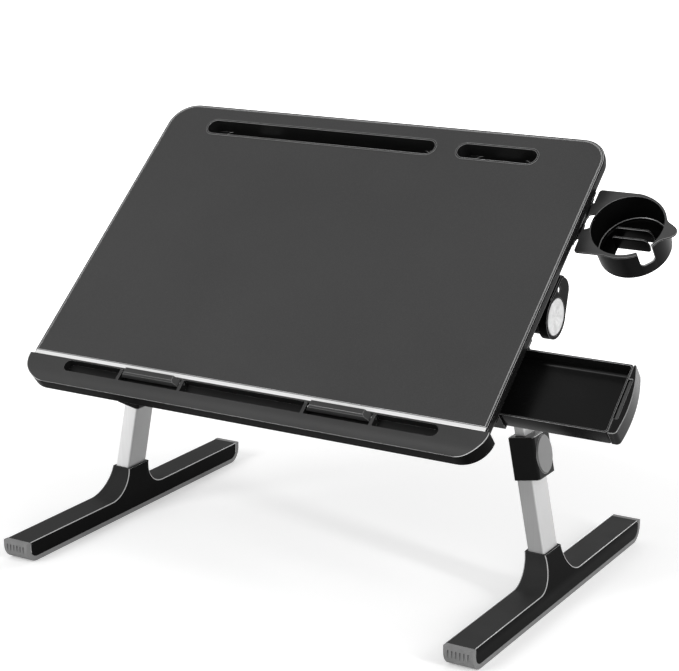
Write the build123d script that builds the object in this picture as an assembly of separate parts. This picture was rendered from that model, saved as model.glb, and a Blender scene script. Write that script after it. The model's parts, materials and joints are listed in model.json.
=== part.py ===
from build123d import *
import math
import os

# Laptop bed table: a tilting desk on two folding legs that slide to change height.
# Millimetres. The desk is drawn flat in a frame of its own, with the tilt axis along X through
# the origin, Y to the back and Z square to the desk, and is then tilted over the legs.
# Right-hand pieces are drawn and mirrored for the left.

# Pose that is drawn
tilt_angle = 40.0
splay_angle = 10.9
axis_height = 333.6
drawer_opening = 124.0

# Shared small sizes
overrun = 6.0
running_gap = 0.05
seat_gap = 0.3
glide_gap = 0.5
edge_break = 0.8

# Desk top
desk_width = 600.0
back_reach = 218.0
front_reach = 218.0
axis_drop = 45.0
desk_thickness = 18.0
panel_thickness = 5.0
rim_width = 3.0
ledge_width = 3.0
tray_floor = 3.0
tray_rib_thickness = 3.0
tray_rib_shares = (-0.44, -0.3, -0.1, 0.17, 0.3, 0.44)
back_corner_radius = 34.0
rim_bevel = 1.2
skirt_edge_radius = 10.0
strip_width = 5.0
strip_thickness = 2.0
strip_end_gap = 2.0

# Front rail with its trough and the two flip-up stops
rail_depth = 33.0
rail_overhang = 4.0
rail_height = 23.0
rail_nose_drop = 5.6
rail_flat_depth = 17.5
rail_corner_radius = 32.0
rail_edge_radius = 3.0
trough_length = 495.0
trough_width = 15.0
trough_depth = 10.0
trough_setback = 2.0
stop_length = 81.0
stop_spacing = 250.0
stop_height = 10.2
stop_back = 3.0
stop_front = 5.5
stop_nose = 2.0
stop_taper = 7.0
stop_axis_depth = 3.5
stop_wall_gap = 0.4
stop_pin_radius = 1.5
stop_lug_width = 4.0
stop_end_gap = 0.4
rail_screw_count = 5
rail_screw_pitch = 120.0
rail_screw_level = 10.7
rail_screw_bite = 10.0
rail_screw_head_radius = 2.3

# Slots for a tablet and a phone, with wells that hang below the tray
slot_setback = 34.0
slot_opening = 21.0
slot_wall = 1.5
slot_lip_width = 2.2
slot_lip_height = 0.6
slot_ledge_depth = 20.0
slot_ledge_length = 14.0
tablet_slot_length = 322.6
tablet_slot_place = -75.6
phone_slot_length = 102.0
phone_slot_place = 167.2
well_drop = 12.0
well_floor = 2.0
well_side = 2.2
well_end = 6.0
well_corner_radius = 6.0
well_screw_inset = 4.2
cable_slit_length = 34.0
cable_slit_width = 5.0
tablet_slit_share = -0.28
phone_slit_share = 0.0

# Pan-head screws under the tray
screw_head_radius = 3.2
screw_head_height = 1.4
screw_shank_radius = 1.5
screw_hole_gap = 0.1

# Ribbed stiffeners under the tray
stiffener_width = 24.0
stiffener_height = 3.5
stiffener_corner_radius = 4.0
stiffener_groove_count = 4
stiffener_groove_pitch = 5.0
stiffener_groove_width = 2.6
stiffener_groove_depth = 1.8
stiffener_end_inset = 64.0
stiffener_housing_gap = 10.0
stiffener_rail_gap = 6.0
front_stiffener_place = -136.0
rear_stiffener_place = 104.0
stiffener_screw_shares = (0.06, 0.5, 0.94)

# Drawer and its housing
drawer_width = 87.0
drawer_height = 21.0
drawer_length = 165.0
drawer_wall = 2.0
drawer_corner_radius = 5.0
drawer_headroom = 2.5
drawer_place = -106.0
drawer_closed_setback = 7.0
housing_wall = 2.0
housing_end_gap = 4.0
housing_mouth_setback = 4.0
housing_flange_width = 9.0
housing_flange_thickness = 2.5
housing_edge_radius = 1.5
housing_screw_shares = (0.12, 0.88)
runner_width = 6.0
runner_height = 1.2
runner_spacing = 60.0
grip_bulge = 12.0
grip_front_bulge = 9.0
grip_back_bulge = 2.5
grip_peak_share = 0.55
grip_recess_width = 50.0
grip_recess_depth = 5.0
grip_recess_height = 12.0

# Cup holder that slides out from under the desk on two rails
cup_place = 119.5
cup_reach = 46.0
cup_drop = 4.5
cup_bore_radius = 41.5
cup_wall = 2.0
cup_depth = 42.0
cup_plate_thickness = 3.0
cup_plate_back = 46.0
cup_plate_front = 45.0
cup_plate_tuck = 3.0
cup_plate_corner = 5.0
cup_thumb_reach = 58.5
cup_thumb_radius = 14.0
cup_thumb_angle = -2.0
cup_floor_thickness = 2.5
cup_floor_hole_left = 20.0
cup_floor_hole_right = 27.0
cup_floor_hole_front = 29.0
cup_bar_left = 23.0
cup_bar_right = 20.0
cup_bar_width = 2.5
cup_bar_shift = 5.4
cup_bar_spacing = 13.5
cup_bar_height = 20.0
cup_notch_angle = -45.0
cup_notch_width = 19.0
cup_notch_depth = 24.0
cup_neck_width = 52.0
cup_neck_overlap = 16.0
cup_neck_hole_width = 25.0
cup_neck_hole_inset = 6.0
cup_tongue_end_gap = 4.0
cup_tongue_length = 62.0
cup_rail_length = 174.0
cup_rail_end_gap = 4.0
cup_rail_lip_width = 6.0
cup_rail_lip_height = 1.5
cup_rail_wall = 4.0
cup_rail_flange_width = 8.0
cup_rail_flange_height = 2.5
cup_rail_screw_shares = (0.08, 0.92)

# Hinge at each side
button_setback = 1.5
tilt_button_radius = 21.5
tilt_button_thickness = 5.0
tilt_button_travel = 3.5
tilt_button_dish = 0.8
bezel_radius = 25.3
bezel_back = 1.5
bezel_front_setback = 1.5
bezel_hole_radius = 9.5
lug_radius = 14.5
lug_back = 34.5
lug_rise = 8.5
lug_thickness = 2.0
lug_hole_radius = 4.0
lug_hole_back = 24.0
lug_hole_rise = 18.5
spring_radius = 10.0
spring_wall = 2.0
drum_radius = 21.0
drum_length = 30.0
core_radius = 14.95
core_flange_radius = 18.0
core_flange_thickness = 1.7
bracket_base_thickness = 2.7
bracket_base_half_depth = 37.0
bracket_base_inboard = 40.0
bracket_gusset_thickness = 4.0
bracket_gusset_height = 12.0
bracket_screw_inset = 6.0
yoke_stub_radius = 7.95
yoke_plate_thickness = 2.9
yoke_cheek_thickness = 4.0
yoke_half_height = 12.0
yoke_screw_radius = 2.5
yoke_screw_head_radius = 7.0
yoke_screw_head_height = 1.2
yoke_screw_length = 11.0
pin_setback = 14.8
fold_pin_radius = 4.0
fold_pin_head_radius = 6.0
fold_pin_head_height = 2.0

# Leg, measured down its own axis from the fold pin
knuckle_radius = 12.5
knuckle_width = 30.4
knuckle_neck_width = 23.0
knuckle_length = 30.0
knuckle_socket_depth = 14.0
inner_tube_width = 13.0
inner_tube_depth = 28.0
inner_tube_wall = 1.5
inner_tube_overlap = 38.0
outer_tube_width = 20.5
outer_tube_depth = 37.0
outer_tube_wall = 2.0
tube_edge_radius = 2.0
outer_tube_length = 152.0
bush_length = 20.0
bush_gap = 0.1
collar_length = 50.0
collar_cap = 6.0
collar_depth = 41.0
collar_inboard = 12.5
collar_edge_radius = 3.0
height_button_half_depth = 18.2
height_button_half_height = 21.5
height_button_thickness = 6.0
height_button_travel = 3.0
height_button_slack = 2.2
height_button_proud = 1.5
height_button_setback = 25.0

# Foot, drawn level on the floor
foot_front = 222.0
foot_back = 233.0
foot_width = 35.5
foot_height = 26.0
sole_thickness = 6.0
sole_end_thickness = 7.0
sole_end_radius = 19.0
foot_end_radius = 12.0
foot_axis_level = 23.0
socket_height = 62.0
socket_depth = 41.0
socket_wall = 2.5
socket_flare_radius = 33.0
socket_slope_start = 22.0
tube_seat_level = 39.5
sole_slot_count = 6
sole_slot_pitch = 4.8
sole_slot_width = 2.2
sole_slot_depth = 1.5
sole_slot_low = 7.0
sole_slot_high = 21.0
foot_screw_spacing = 9.0
foot_screw_length = 4.6
foot_screw_seat = 21.5
foot_screw_level = 46.0

# Levels and places that follow from the sizes above
desk_top = axis_drop
panel_floor = desk_top - panel_thickness
skirt_bottom = desk_top - desk_thickness
tray_top_of_floor = skirt_bottom + tray_floor
half_width = desk_width / 2
tray_front = -(front_reach - rail_depth)
panel_front = tray_front + strip_width
cavity_front = panel_front + ledge_width
slot_place = back_reach - slot_setback
well_bottom = skirt_bottom - well_drop
well_floor_top = well_bottom + well_floor
liner_grow = 2 * slot_wall
well_grow = liner_grow + 2 * seat_gap
trough_back = tray_front - trough_setback
trough_middle = trough_back - trough_width / 2
trough_floor = desk_top - trough_depth
stop_axis_y = trough_back - stop_wall_gap - stop_back
stop_axis_z = desk_top - stop_axis_depth

drawer_top = skirt_bottom - drawer_headroom
drawer_bottom = drawer_top - drawer_height
runner_top = drawer_bottom - seat_gap
housing_floor_top = runner_top - runner_height
housing_bottom = housing_floor_top - housing_wall
housing_half_width = drawer_width / 2 + glide_gap + housing_wall
housing_mouth = half_width - housing_mouth_setback
drawer_closed_end = half_width - drawer_closed_setback
drawer_end = drawer_closed_end + drawer_opening
drawer_start = drawer_end - drawer_length
housing_start = drawer_closed_end - drawer_length - housing_end_gap - housing_wall

cup_x = half_width + cup_reach
cup_plate_top = skirt_bottom - cup_drop
cup_plate_bottom = cup_plate_top - cup_plate_thickness
cup_plate_edge = half_width - cup_plate_tuck
cup_floor = cup_plate_top - cup_depth
cup_outer_radius = cup_bore_radius + cup_wall
cup_rail_bottom = cup_plate_top + seat_gap
cup_lip_top = cup_rail_bottom + cup_rail_lip_height
cup_tongue_bottom = cup_lip_top + seat_gap
cup_tongue_top = skirt_bottom - glide_gap
cup_rail_inner = cup_neck_width / 2 + glide_gap
cup_rail_outer = cup_rail_inner + cup_rail_wall
cup_rail_end = half_width - cup_rail_end_gap
cup_rail_start = cup_rail_end - cup_rail_length

stiffener_left_end = stiffener_end_inset - half_width
front_stiffener_right_end = housing_start - stiffener_housing_gap
rear_stiffener_right_end = cup_rail_start - stiffener_rail_gap

button_face = half_width - button_setback
bezel_face = button_face - bezel_front_setback
bezel_pocket = glide_gap + tilt_button_travel + tilt_button_thickness
bezel_depth = bezel_back + bezel_pocket - bezel_front_setback
bezel_start = bezel_face - bezel_depth
drum_start = bezel_start - drum_length
core_start = drum_start - seat_gap
yoke_start = core_start - core_flange_thickness - seat_gap
pin_x = yoke_start - yoke_plate_thickness - pin_setback
bracket_base_start = drum_start - bracket_base_inboard
bracket_base_bottom = skirt_bottom - bracket_base_thickness
cheek_inner = knuckle_width / 2 + seat_gap
cheek_outer = cheek_inner + yoke_cheek_thickness

outer_tube_end = (axis_height - tube_seat_level) / math.cos(math.radians(splay_angle))
outer_tube_top = outer_tube_end - outer_tube_length
inner_tube_end = outer_tube_top + inner_tube_overlap
collar_top = outer_tube_top - collar_cap
height_button_room = height_button_slack + height_button_travel
collar_outboard = outer_tube_width / 2 + height_button_room + height_button_thickness - height_button_proud
collar_bottom = collar_top + collar_length
height_button_level = collar_top + height_button_setback
splay_slope = math.tan(math.radians(splay_angle))
foot_x = pin_x + (axis_height - foot_axis_level) * splay_slope
socket_half_width = outer_tube_width / 2 / math.cos(math.radians(splay_angle)) + socket_wall

to_right = (1, 0, 0)
to_back = (0, 1, 0)
to_front = (0, -1, 0)
upward = (0, 0, 1)


def block(x_range, y_range, z_range):
    ranges = (x_range, y_range, z_range)
    centre = [(low + high) / 2 for low, high in ranges]
    size = [high - low for low, high in ranges]
    return Pos(*centre) * Box(*size)


def rod(start, direction, length, radius):
    base = Plane(origin=start, z_dir=direction)
    return base * Cylinder(radius, length, align=(Align.CENTER, Align.CENTER, Align.MIN))


def prism(sketch, low, high):
    return extrude(Pos(0, 0, low) * sketch, high - low)


def oval_rod(start, length, half_depth, half_height):
    """A rod along X from its start, oval in Y and Z."""
    base = Plane(origin=start, x_dir=to_back, z_dir=to_right)
    return extrude(base * Ellipse(half_depth, half_height), length)


def across(sketch, width):
    """Extrude a sketch of (Y, Z) points along X, centred on X = 0."""
    return extrude(Plane.YZ * sketch, width / 2, both=True)


def along_depth(sketch, depth):
    """Extrude a sketch of (X, Z) points along Y, centred on Y = 0."""
    return extrude(Plane.XZ * sketch, depth / 2, both=True)


def polygon(points):
    return make_face(Polyline(*points, close=True))


def desk_outline(inset, front):
    back = back_reach - inset
    sketch = Pos(0, (front + back) / 2) * Rectangle(desk_width - 2 * inset, back - front)
    corners = sketch.vertices().group_by(Axis.Y)[-1]
    return fillet(corners, back_corner_radius - inset)


def slot_prism(place, length, width, low, high):
    return prism(Pos(place, slot_place) * SlotOverall(length, width), low, high)


def slot_holes(low, high):
    slots = ((tablet_slot_place, tablet_slot_length), (phone_slot_place, phone_slot_length))
    width = slot_opening + well_grow
    return [slot_prism(place, length + well_grow, width, low, high) for place, length in slots]


def desk_panel():
    gap = rim_width + running_gap
    panel = prism(desk_outline(gap, panel_front), panel_floor, desk_top)
    for hole in slot_holes(panel_floor - overrun, desk_top + overrun):
        panel -= hole
    top = panel.faces().sort_by(Axis.Z)[-1]
    return chamfer(top.outer_wire().edges(), edge_break)


def under_tray():
    tray = prism(desk_outline(0, tray_front), skirt_bottom, desk_top)
    sides = tray.edges().filter_by(lambda edge: edge.center().Y > tray_front + rim_width)
    tray = chamfer(sides.group_by(Axis.Z)[-1], rim_bevel)
    sides = tray.edges().filter_by(lambda edge: edge.center().Y > tray_front + rim_width)
    tray = fillet(sides.group_by(Axis.Z)[0], skirt_edge_radius)
    tray -= prism(desk_outline(rim_width, panel_front), panel_floor, desk_top + overrun)
    tray -= block((-desk_width, desk_width), (tray_front - overrun, panel_front),
                  (desk_top - strip_thickness, desk_top + overrun))
    cavity = prism(desk_outline(rim_width + ledge_width, cavity_front), tray_top_of_floor, panel_floor)
    for share in tray_rib_shares:
        middle = share * desk_width
        cavity -= block((middle - tray_rib_thickness / 2, middle + tray_rib_thickness / 2),
                        (-desk_width, desk_width), (skirt_bottom, desk_top))
    tray -= cavity
    for hole in slot_holes(skirt_bottom - overrun, desk_top):
        tray -= hole
    for x, y, seat in tray_screw_places():
        tray -= screw_hole(x, y, skirt_bottom)
    for x in rail_screw_places():
        start = (x, tray_front - overrun, rail_screw_z())
        length = cavity_front - tray_front + 2 * overrun
        tray -= rod(start, to_back, length, screw_shank_radius + screw_hole_gap)
    return tray


def accent_strip():
    half = half_width - strip_end_gap
    return block((-half, half), (tray_front, panel_front), (desk_top - strip_thickness, desk_top))


def rail_screw_z():
    return desk_top - rail_height + rail_screw_level


def rail_screw_places():
    first = -(rail_screw_count - 1) / 2 * rail_screw_pitch
    return [first + index * rail_screw_pitch for index in range(rail_screw_count)]


def rail_profile():
    bottom = desk_top - rail_height
    nose = tray_front - rail_flat_depth
    front = -front_reach
    flat = Line((tray_front, desk_top), (nose, desk_top))
    curve = TangentArc((nose, desk_top), (front, desk_top - rail_nose_drop), tangent=(-1, 0))
    rest = Polyline((front, desk_top - rail_nose_drop), (front, bottom),
                    (tray_front, bottom), (tray_front, desk_top))
    return make_face(Curve() + [flat, curve, rest])


def front_rail():
    width = desk_width + 2 * rail_overhang
    plan = Pos(0, (tray_front - front_reach) / 2) * Rectangle(width, front_reach + tray_front)
    plan = fillet(plan.vertices().group_by(Axis.Y)[0], rail_corner_radius)
    rail = across(rail_profile(), width) & prism(plan, desk_top - rail_height, desk_top)
    bottom = rail.faces().sort_by(Axis.Z)[0]
    low_edges = bottom.edges().filter_by(lambda edge: edge.center().Y < tray_front - edge_break)
    rail = fillet(low_edges, rail_edge_radius)
    trough = Pos(0, trough_middle) * SlotOverall(trough_length, trough_width)
    rail -= prism(trough, trough_floor, desk_top + overrun)
    for place in stop_lug_places():
        lug = block((place - stop_lug_width / 2, place + stop_lug_width / 2),
                    (trough_back - trough_width, trough_back),
                    (trough_floor, stop_axis_z + stop_back))
        rail += lug
    for side in (-1, 1):
        rail -= stop_pin(side, stop_pin_radius + running_gap)
    for x in rail_screw_places():
        start = (x, tray_front - rail_screw_bite, rail_screw_z())
        rail -= rod(start, to_back, rail_screw_bite, screw_shank_radius + screw_hole_gap)
    return rail


def stop_lug_places():
    reach = stop_length / 2 + stop_end_gap + stop_lug_width / 2
    return [side * stop_spacing / 2 + end * reach for side in (-1, 1) for end in (-1, 1)]


def stop_pin(side, radius):
    length = stop_length + 2 * (stop_end_gap + stop_lug_width)
    start = (side * stop_spacing / 2 - length / 2, stop_axis_y, stop_axis_z)
    return rod(start, to_right, length, radius)


def stop_bar(side):
    section = polygon([(stop_back, 0), (stop_back, stop_height), (stop_nose - stop_front, stop_height),
                       (-stop_front, stop_height - stop_nose), (-stop_front, 0)])
    section += Circle(stop_back)
    bar = across(section, stop_length)
    half = stop_length / 2
    face = polygon([(-half, -stop_height), (half, -stop_height), (half, 0),
                    (half - stop_taper, stop_height), (stop_taper - half, stop_height), (-half, 0)])
    bar &= along_depth(face, stop_length)
    bar = Pos(side * stop_spacing / 2, stop_axis_y, stop_axis_z) * bar
    return bar - stop_pin(side, stop_pin_radius + running_gap)


def stop_hinge_pins():
    return Compound([stop_pin(side, stop_pin_radius).solid() for side in (-1, 1)])


def rail_screws():
    screws = []
    for x in rail_screw_places():
        start = (x, tray_front - rail_screw_bite + seat_gap, rail_screw_z())
        length = cavity_front - tray_front + rail_screw_bite - seat_gap
        screw = rod(start, to_back, length, screw_shank_radius)
        screw += rod((x, cavity_front, rail_screw_z()), to_back, screw_head_height, rail_screw_head_radius)
        screws.append(screw.solid())
    return Compound(screws)


def slot_liner(place, length, slit_share):
    lip = 2 * slot_lip_width
    liner = slot_prism(place, length + liner_grow, slot_opening + liner_grow, well_floor_top, desk_top)
    liner += slot_prism(place, length + lip, slot_opening + lip, desk_top, desk_top + slot_lip_height)
    liner -= slot_prism(place, length, slot_opening, desk_top - slot_ledge_depth, desk_top + overrun)
    deep_length = length - 2 * slot_ledge_length
    liner -= slot_prism(place, deep_length, slot_opening, well_floor_top + slot_wall, desk_top)
    return liner - cable_slit(place + slit_share * length)


def cable_slit(place):
    return slot_prism(place, cable_slit_length, cable_slit_width, well_bottom - overrun, desk_top)


def slot_well(place, length, slit_share):
    inner_length = length + well_grow
    inner_width = slot_opening + well_grow
    outline = RectangleRounded(inner_length + 2 * well_end, inner_width + 2 * well_side, well_corner_radius)
    well = prism(Pos(place, slot_place) * outline, well_bottom, skirt_bottom)
    well -= slot_prism(place, inner_length, inner_width, well_floor_top, skirt_bottom + overrun)
    well -= cable_slit(place + slit_share * length)
    for x, y, seat in well_screw_places(place, length):
        well -= screw_hole(x, y, seat)
    return well


def well_screw_places(place, length):
    reach = (length + well_grow) / 2 + well_end - well_screw_inset
    drop = (slot_opening + well_grow) / 2 + well_side - well_screw_inset
    return [(place + side * reach, slot_place - drop, well_bottom) for side in (-1, 1)]


def stiffener(place, right_end):
    middle = (stiffener_left_end + right_end) / 2
    length = right_end - stiffener_left_end
    low = skirt_bottom - stiffener_height
    outline = Pos(middle, place) * RectangleRounded(length, stiffener_width, stiffener_corner_radius)
    bar = prism(outline, low, skirt_bottom)
    first = place - (stiffener_groove_count - 1) / 2 * stiffener_groove_pitch
    for index in range(stiffener_groove_count):
        groove = first + index * stiffener_groove_pitch
        bar -= block((stiffener_left_end - overrun, right_end + overrun),
                     (groove - stiffener_groove_width / 2, groove + stiffener_groove_width / 2),
                     (low - overrun, low + stiffener_groove_depth))
    for x, y, seat in stiffener_screw_places(place, right_end):
        bar -= screw_hole(x, y, seat)
    return bar


def stiffener_screw_places(place, right_end):
    length = right_end - stiffener_left_end
    seat = skirt_bottom - stiffener_height
    return [(stiffener_left_end + share * length, place, seat) for share in stiffener_screw_shares]


def housing_screw_places():
    length = housing_mouth - housing_start
    reach = housing_half_width + housing_flange_width / 2
    seat = skirt_bottom - housing_flange_thickness
    places = []
    for share in housing_screw_shares:
        for side in (-1, 1):
            places.append((housing_start + share * length, drawer_place + side * reach, seat))
    return places


def bracket_screw_places():
    reach = bracket_base_half_depth - bracket_screw_inset
    places = []
    for x in (bracket_base_start + bracket_screw_inset, bezel_start - bracket_screw_inset):
        for y in (-reach, reach):
            places.append((x, y, bracket_base_bottom))
    return places


def tray_screw_places():
    places = housing_screw_places()
    places += well_screw_places(tablet_slot_place, tablet_slot_length)
    places += well_screw_places(phone_slot_place, phone_slot_length)
    places += cup_rail_screw_places()
    places += stiffener_screw_places(front_stiffener_place, front_stiffener_right_end)
    places += stiffener_screw_places(rear_stiffener_place, rear_stiffener_right_end)
    for x, y, seat in bracket_screw_places():
        places += [(x, y, seat), (-x, y, seat)]
    return places


def screw_hole(x, y, seat):
    length = tray_top_of_floor - seat + overrun
    return rod((x, y, seat - overrun), upward, length, screw_shank_radius + screw_hole_gap)


def tray_screws():
    screws = []
    for x, y, seat in tray_screw_places():
        shank = rod((x, y, seat), upward, tray_top_of_floor - seat_gap - seat, screw_shank_radius)
        head = rod((x, y, seat - screw_head_height), upward, screw_head_height, screw_head_radius)
        screws.append((shank + head).solid())
    return Compound(screws)


def drawer_housing():
    low = drawer_place - housing_half_width
    high = drawer_place + housing_half_width
    shell = block((housing_start, housing_mouth), (low, high), (housing_bottom, skirt_bottom))
    shell = fillet(shell.edges().filter_by(Axis.X).group_by(Axis.Z)[0], housing_edge_radius)
    flange_low = skirt_bottom - housing_flange_thickness
    shell += block((housing_start, housing_mouth), (low - housing_flange_width, high + housing_flange_width),
                   (flange_low, skirt_bottom))
    shell -= block((housing_start + housing_wall, housing_mouth + overrun),
                   (low + housing_wall, high - housing_wall),
                   (housing_floor_top, skirt_bottom + overrun))
    for x, y, seat in housing_screw_places():
        shell -= screw_hole(x, y, seat)
    return shell


def drawer_runners():
    runners = []
    for side in (-1, 1):
        middle = drawer_place + side * runner_spacing / 2
        runner = block((housing_start + housing_wall, housing_mouth),
                       (middle - runner_width / 2, middle + runner_width / 2),
                       (housing_floor_top, runner_top))
        runners.append(runner.solid())
    return Compound(runners)


def drawer_tray():
    low = drawer_place - drawer_width / 2
    high = drawer_place + drawer_width / 2
    tray = block((drawer_start, drawer_end), (low, high), (drawer_bottom, drawer_top))
    hollow = block((drawer_start + drawer_wall, drawer_end - drawer_wall),
                   (low + drawer_wall, high - drawer_wall),
                   (drawer_bottom + drawer_wall, drawer_top + overrun))
    hollow = fillet(hollow.edges().filter_by(Axis.Z), drawer_corner_radius)
    return tray - hollow


def drawer_grip():
    low = drawer_place - drawer_width / 2
    high = drawer_place + drawer_width / 2
    peak = high - grip_peak_share * drawer_width
    front = (drawer_end + grip_front_bulge, low)
    back = (drawer_end + grip_back_bulge, high)
    face = ThreePointArc(front, (drawer_end + grip_bulge, peak), back)
    rest = Polyline(back, (drawer_end, high), (drawer_end, low), front)
    grip = prism(make_face(Curve() + [face, rest]), drawer_bottom, drawer_top)
    grip = fillet(grip.edges().filter_by(Axis.Z).group_by(Axis.X)[-1], drawer_corner_radius)
    recess_low = drawer_place - grip_recess_width / 2
    grip -= block((drawer_end, drawer_end + grip_recess_depth), (recess_low, recess_low + grip_recess_width),
                  (drawer_top - grip_recess_height, drawer_top + overrun))
    return grip


def cup_plate():
    straight = cup_x - cup_plate_edge
    middle = cup_place + (cup_plate_back - cup_plate_front) / 2
    plate = Pos((cup_plate_edge + cup_x) / 2, middle) * Rectangle(straight, cup_plate_back + cup_plate_front)
    plate = fillet(plate.vertices().group_by(Axis.X)[0], cup_plate_corner)
    plate += Pos(cup_x, cup_place) * Circle(cup_plate_back)
    angle = math.radians(cup_thumb_angle)
    reach = cup_thumb_reach - cup_thumb_radius
    thumb = Pos(cup_x + reach * math.cos(angle), cup_place + reach * math.sin(angle))
    return plate + thumb * Circle(cup_thumb_radius)


def cup_neck():
    start = half_width - cup_neck_overlap
    end = cup_plate_edge + cup_plate_corner
    return Pos((start + end) / 2, cup_place) * Rectangle(end - start, cup_neck_width)


def cup_neck_hole():
    start = half_width - cup_neck_hole_inset
    end = cup_x - cup_outer_radius
    return Pos((start + end) / 2, cup_place) * Rectangle(end - start, cup_neck_hole_width)


def cup_tongue():
    """The T-shaped tongue that hangs in the rails, as a web between their lips and a flange over them."""
    end = half_width - cup_tongue_end_gap
    ends = (end - cup_tongue_length, end)
    half = cup_neck_width / 2
    web = half - cup_rail_lip_width
    tongue = block(ends, (cup_place - web, cup_place + web), (cup_plate_bottom, cup_tongue_bottom))
    return tongue + block(ends, (cup_place - half, cup_place + half), (cup_tongue_bottom, cup_tongue_top))


def cup_holder():
    holder = prism(cup_plate() + cup_neck(), cup_plate_bottom, cup_plate_top) + cup_tongue()
    holder -= prism(cup_neck_hole(), cup_floor, skirt_bottom)
    centre = (cup_x, cup_place, cup_floor)
    holder += rod(centre, upward, cup_depth - edge_break, cup_outer_radius)
    inside = (cup_x, cup_place, cup_floor + cup_floor_thickness)
    holder -= rod(inside, upward, cup_depth + overrun, cup_bore_radius)
    bar_places = [cup_place + cup_bar_shift + side * cup_bar_spacing / 2 for side in (-1, 1)]
    holder -= block((cup_x - cup_floor_hole_left, cup_x + cup_floor_hole_right),
                    (cup_place - cup_floor_hole_front, bar_places[-1]),
                    (cup_floor - overrun, cup_plate_bottom))
    for middle in bar_places:
        holder += block((cup_x - cup_bar_left, cup_x + cup_bar_right),
                        (middle - cup_bar_width / 2, middle + cup_bar_width / 2),
                        (cup_floor, cup_floor + cup_bar_height))
    notch = block((cup_bore_radius - overrun, cup_thumb_reach + overrun),
                  (-cup_notch_width / 2, cup_notch_width / 2),
                  (cup_plate_top - cup_notch_depth, cup_plate_top + overrun))
    return holder - Pos(cup_x, cup_place, 0) * Rot(0, 0, cup_notch_angle) * notch


def cup_rail():
    """The rail on the back side of the tongue: a lip below it, a wall beside it and a screwed flange."""
    lip = cup_rail_inner - cup_rail_lip_width
    flange_bottom = skirt_bottom - cup_rail_flange_height
    flange_edge = cup_rail_outer + cup_rail_flange_width
    section = polygon([(lip, cup_rail_bottom), (cup_rail_outer, cup_rail_bottom),
                       (cup_rail_outer, flange_bottom), (flange_edge, flange_bottom),
                       (flange_edge, skirt_bottom), (cup_rail_inner, skirt_bottom),
                       (cup_rail_inner, cup_lip_top), (lip, cup_lip_top)])
    return Pos((cup_rail_start + cup_rail_end) / 2, 0, 0) * across(section, cup_rail_length)


def cup_rails():
    back = cup_rail()
    rails = []
    for rail in (mirror(back, about=Plane.XZ), back):
        rail = Pos(0, cup_place, 0) * rail
        for x, y, seat in cup_rail_screw_places():
            rail -= screw_hole(x, y, seat)
        rails.append(rail.solid())
    return Compound(rails)


def cup_rail_screw_places():
    reach = cup_rail_outer + cup_rail_flange_width / 2
    seat = skirt_bottom - cup_rail_flange_height
    places = []
    for share in cup_rail_screw_shares:
        for side in (-1, 1):
            places.append((cup_rail_start + share * cup_rail_length, cup_place + side * reach, seat))
    return places


def hinge_bracket():
    base = block((bracket_base_start, bezel_start), (-bracket_base_half_depth, bracket_base_half_depth),
                 (bracket_base_bottom, skirt_bottom))
    base = fillet(base.edges().filter_by(Axis.Z), bracket_screw_inset)
    saddle = block((drum_start, bezel_start), (-drum_radius, drum_radius), (0, bracket_base_bottom))
    bracket = base + saddle + rod((drum_start, 0, 0), to_right, drum_length, drum_radius)
    foot = bracket_base_bottom
    gusset = polygon([(-drum_radius, foot), (-bracket_base_half_depth + bracket_screw_inset, foot),
                      (-drum_radius, foot - bracket_gusset_height)])
    middle = drum_start + bracket_gusset_thickness / 2
    gusset = Pos(middle, 0, 0) * across(gusset, bracket_gusset_thickness)
    bracket += gusset
    bracket += mirror(gusset, about=Plane.XZ)
    bore_start = (drum_start - overrun, 0, 0)
    bracket -= rod(bore_start, to_right, drum_length + 2 * overrun, core_radius + running_gap)
    for x, y, seat in bracket_screw_places():
        bracket -= screw_hole(x, y, seat)
    return bracket


def tilt_core():
    core = rod((core_start, 0, 0), to_right, bezel_start - seat_gap - core_start, core_radius)
    flange_start = (core_start - core_flange_thickness, 0, 0)
    core += rod(flange_start, to_right, core_flange_thickness, core_flange_radius)
    bore_start = (core_start - core_flange_thickness - overrun, 0, 0)
    bore_length = bezel_start - core_start + core_flange_thickness + 2 * overrun
    return core - rod(bore_start, to_right, bore_length, yoke_stub_radius + running_gap)


def tilt_bezel():
    outline = Circle(bezel_radius - edge_break) + Pos(lug_back, lug_rise) * Circle(lug_radius)
    plate = make_hull(outline.edges()) - Pos(lug_hole_back, lug_hole_rise) * Circle(lug_hole_radius)
    bezel = Pos(bezel_face - lug_thickness / 2, 0, 0) * across(plate, lug_thickness)
    bezel += rod((bezel_start, 0, 0), to_right, bezel_depth, bezel_radius)
    bezel -= rod((bezel_start + bezel_back, 0, 0), to_right, bezel_depth, tilt_button_radius + seat_gap)
    return bezel - rod((bezel_start - overrun, 0, 0), to_right, bezel_depth, bezel_hole_radius)


def tilt_button():
    start = button_face - tilt_button_thickness
    button = rod((start, 0, 0), to_right, tilt_button_thickness, tilt_button_radius)
    button = fillet(button.edges().group_by(Axis.X)[-1], edge_break)
    dish = rod((button_face - tilt_button_dish, 0, 0), to_right, overrun, tilt_button_radius - spring_wall)
    return button - dish


def tilt_spring():
    start = bezel_start + bezel_back
    length = button_face - tilt_button_thickness - start
    return coil_blank((start, 0, 0), length, spring_radius + spring_wall)


def coil_blank(start, length, radius):
    """A coil spring that is closed in on all sides, as the tube that holds its turns."""
    tube = rod(start, to_right, length, radius)
    bore_start = (start[0] - overrun, start[1], start[2])
    return tube - rod(bore_start, to_right, length + 2 * overrun, radius - spring_wall)


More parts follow.
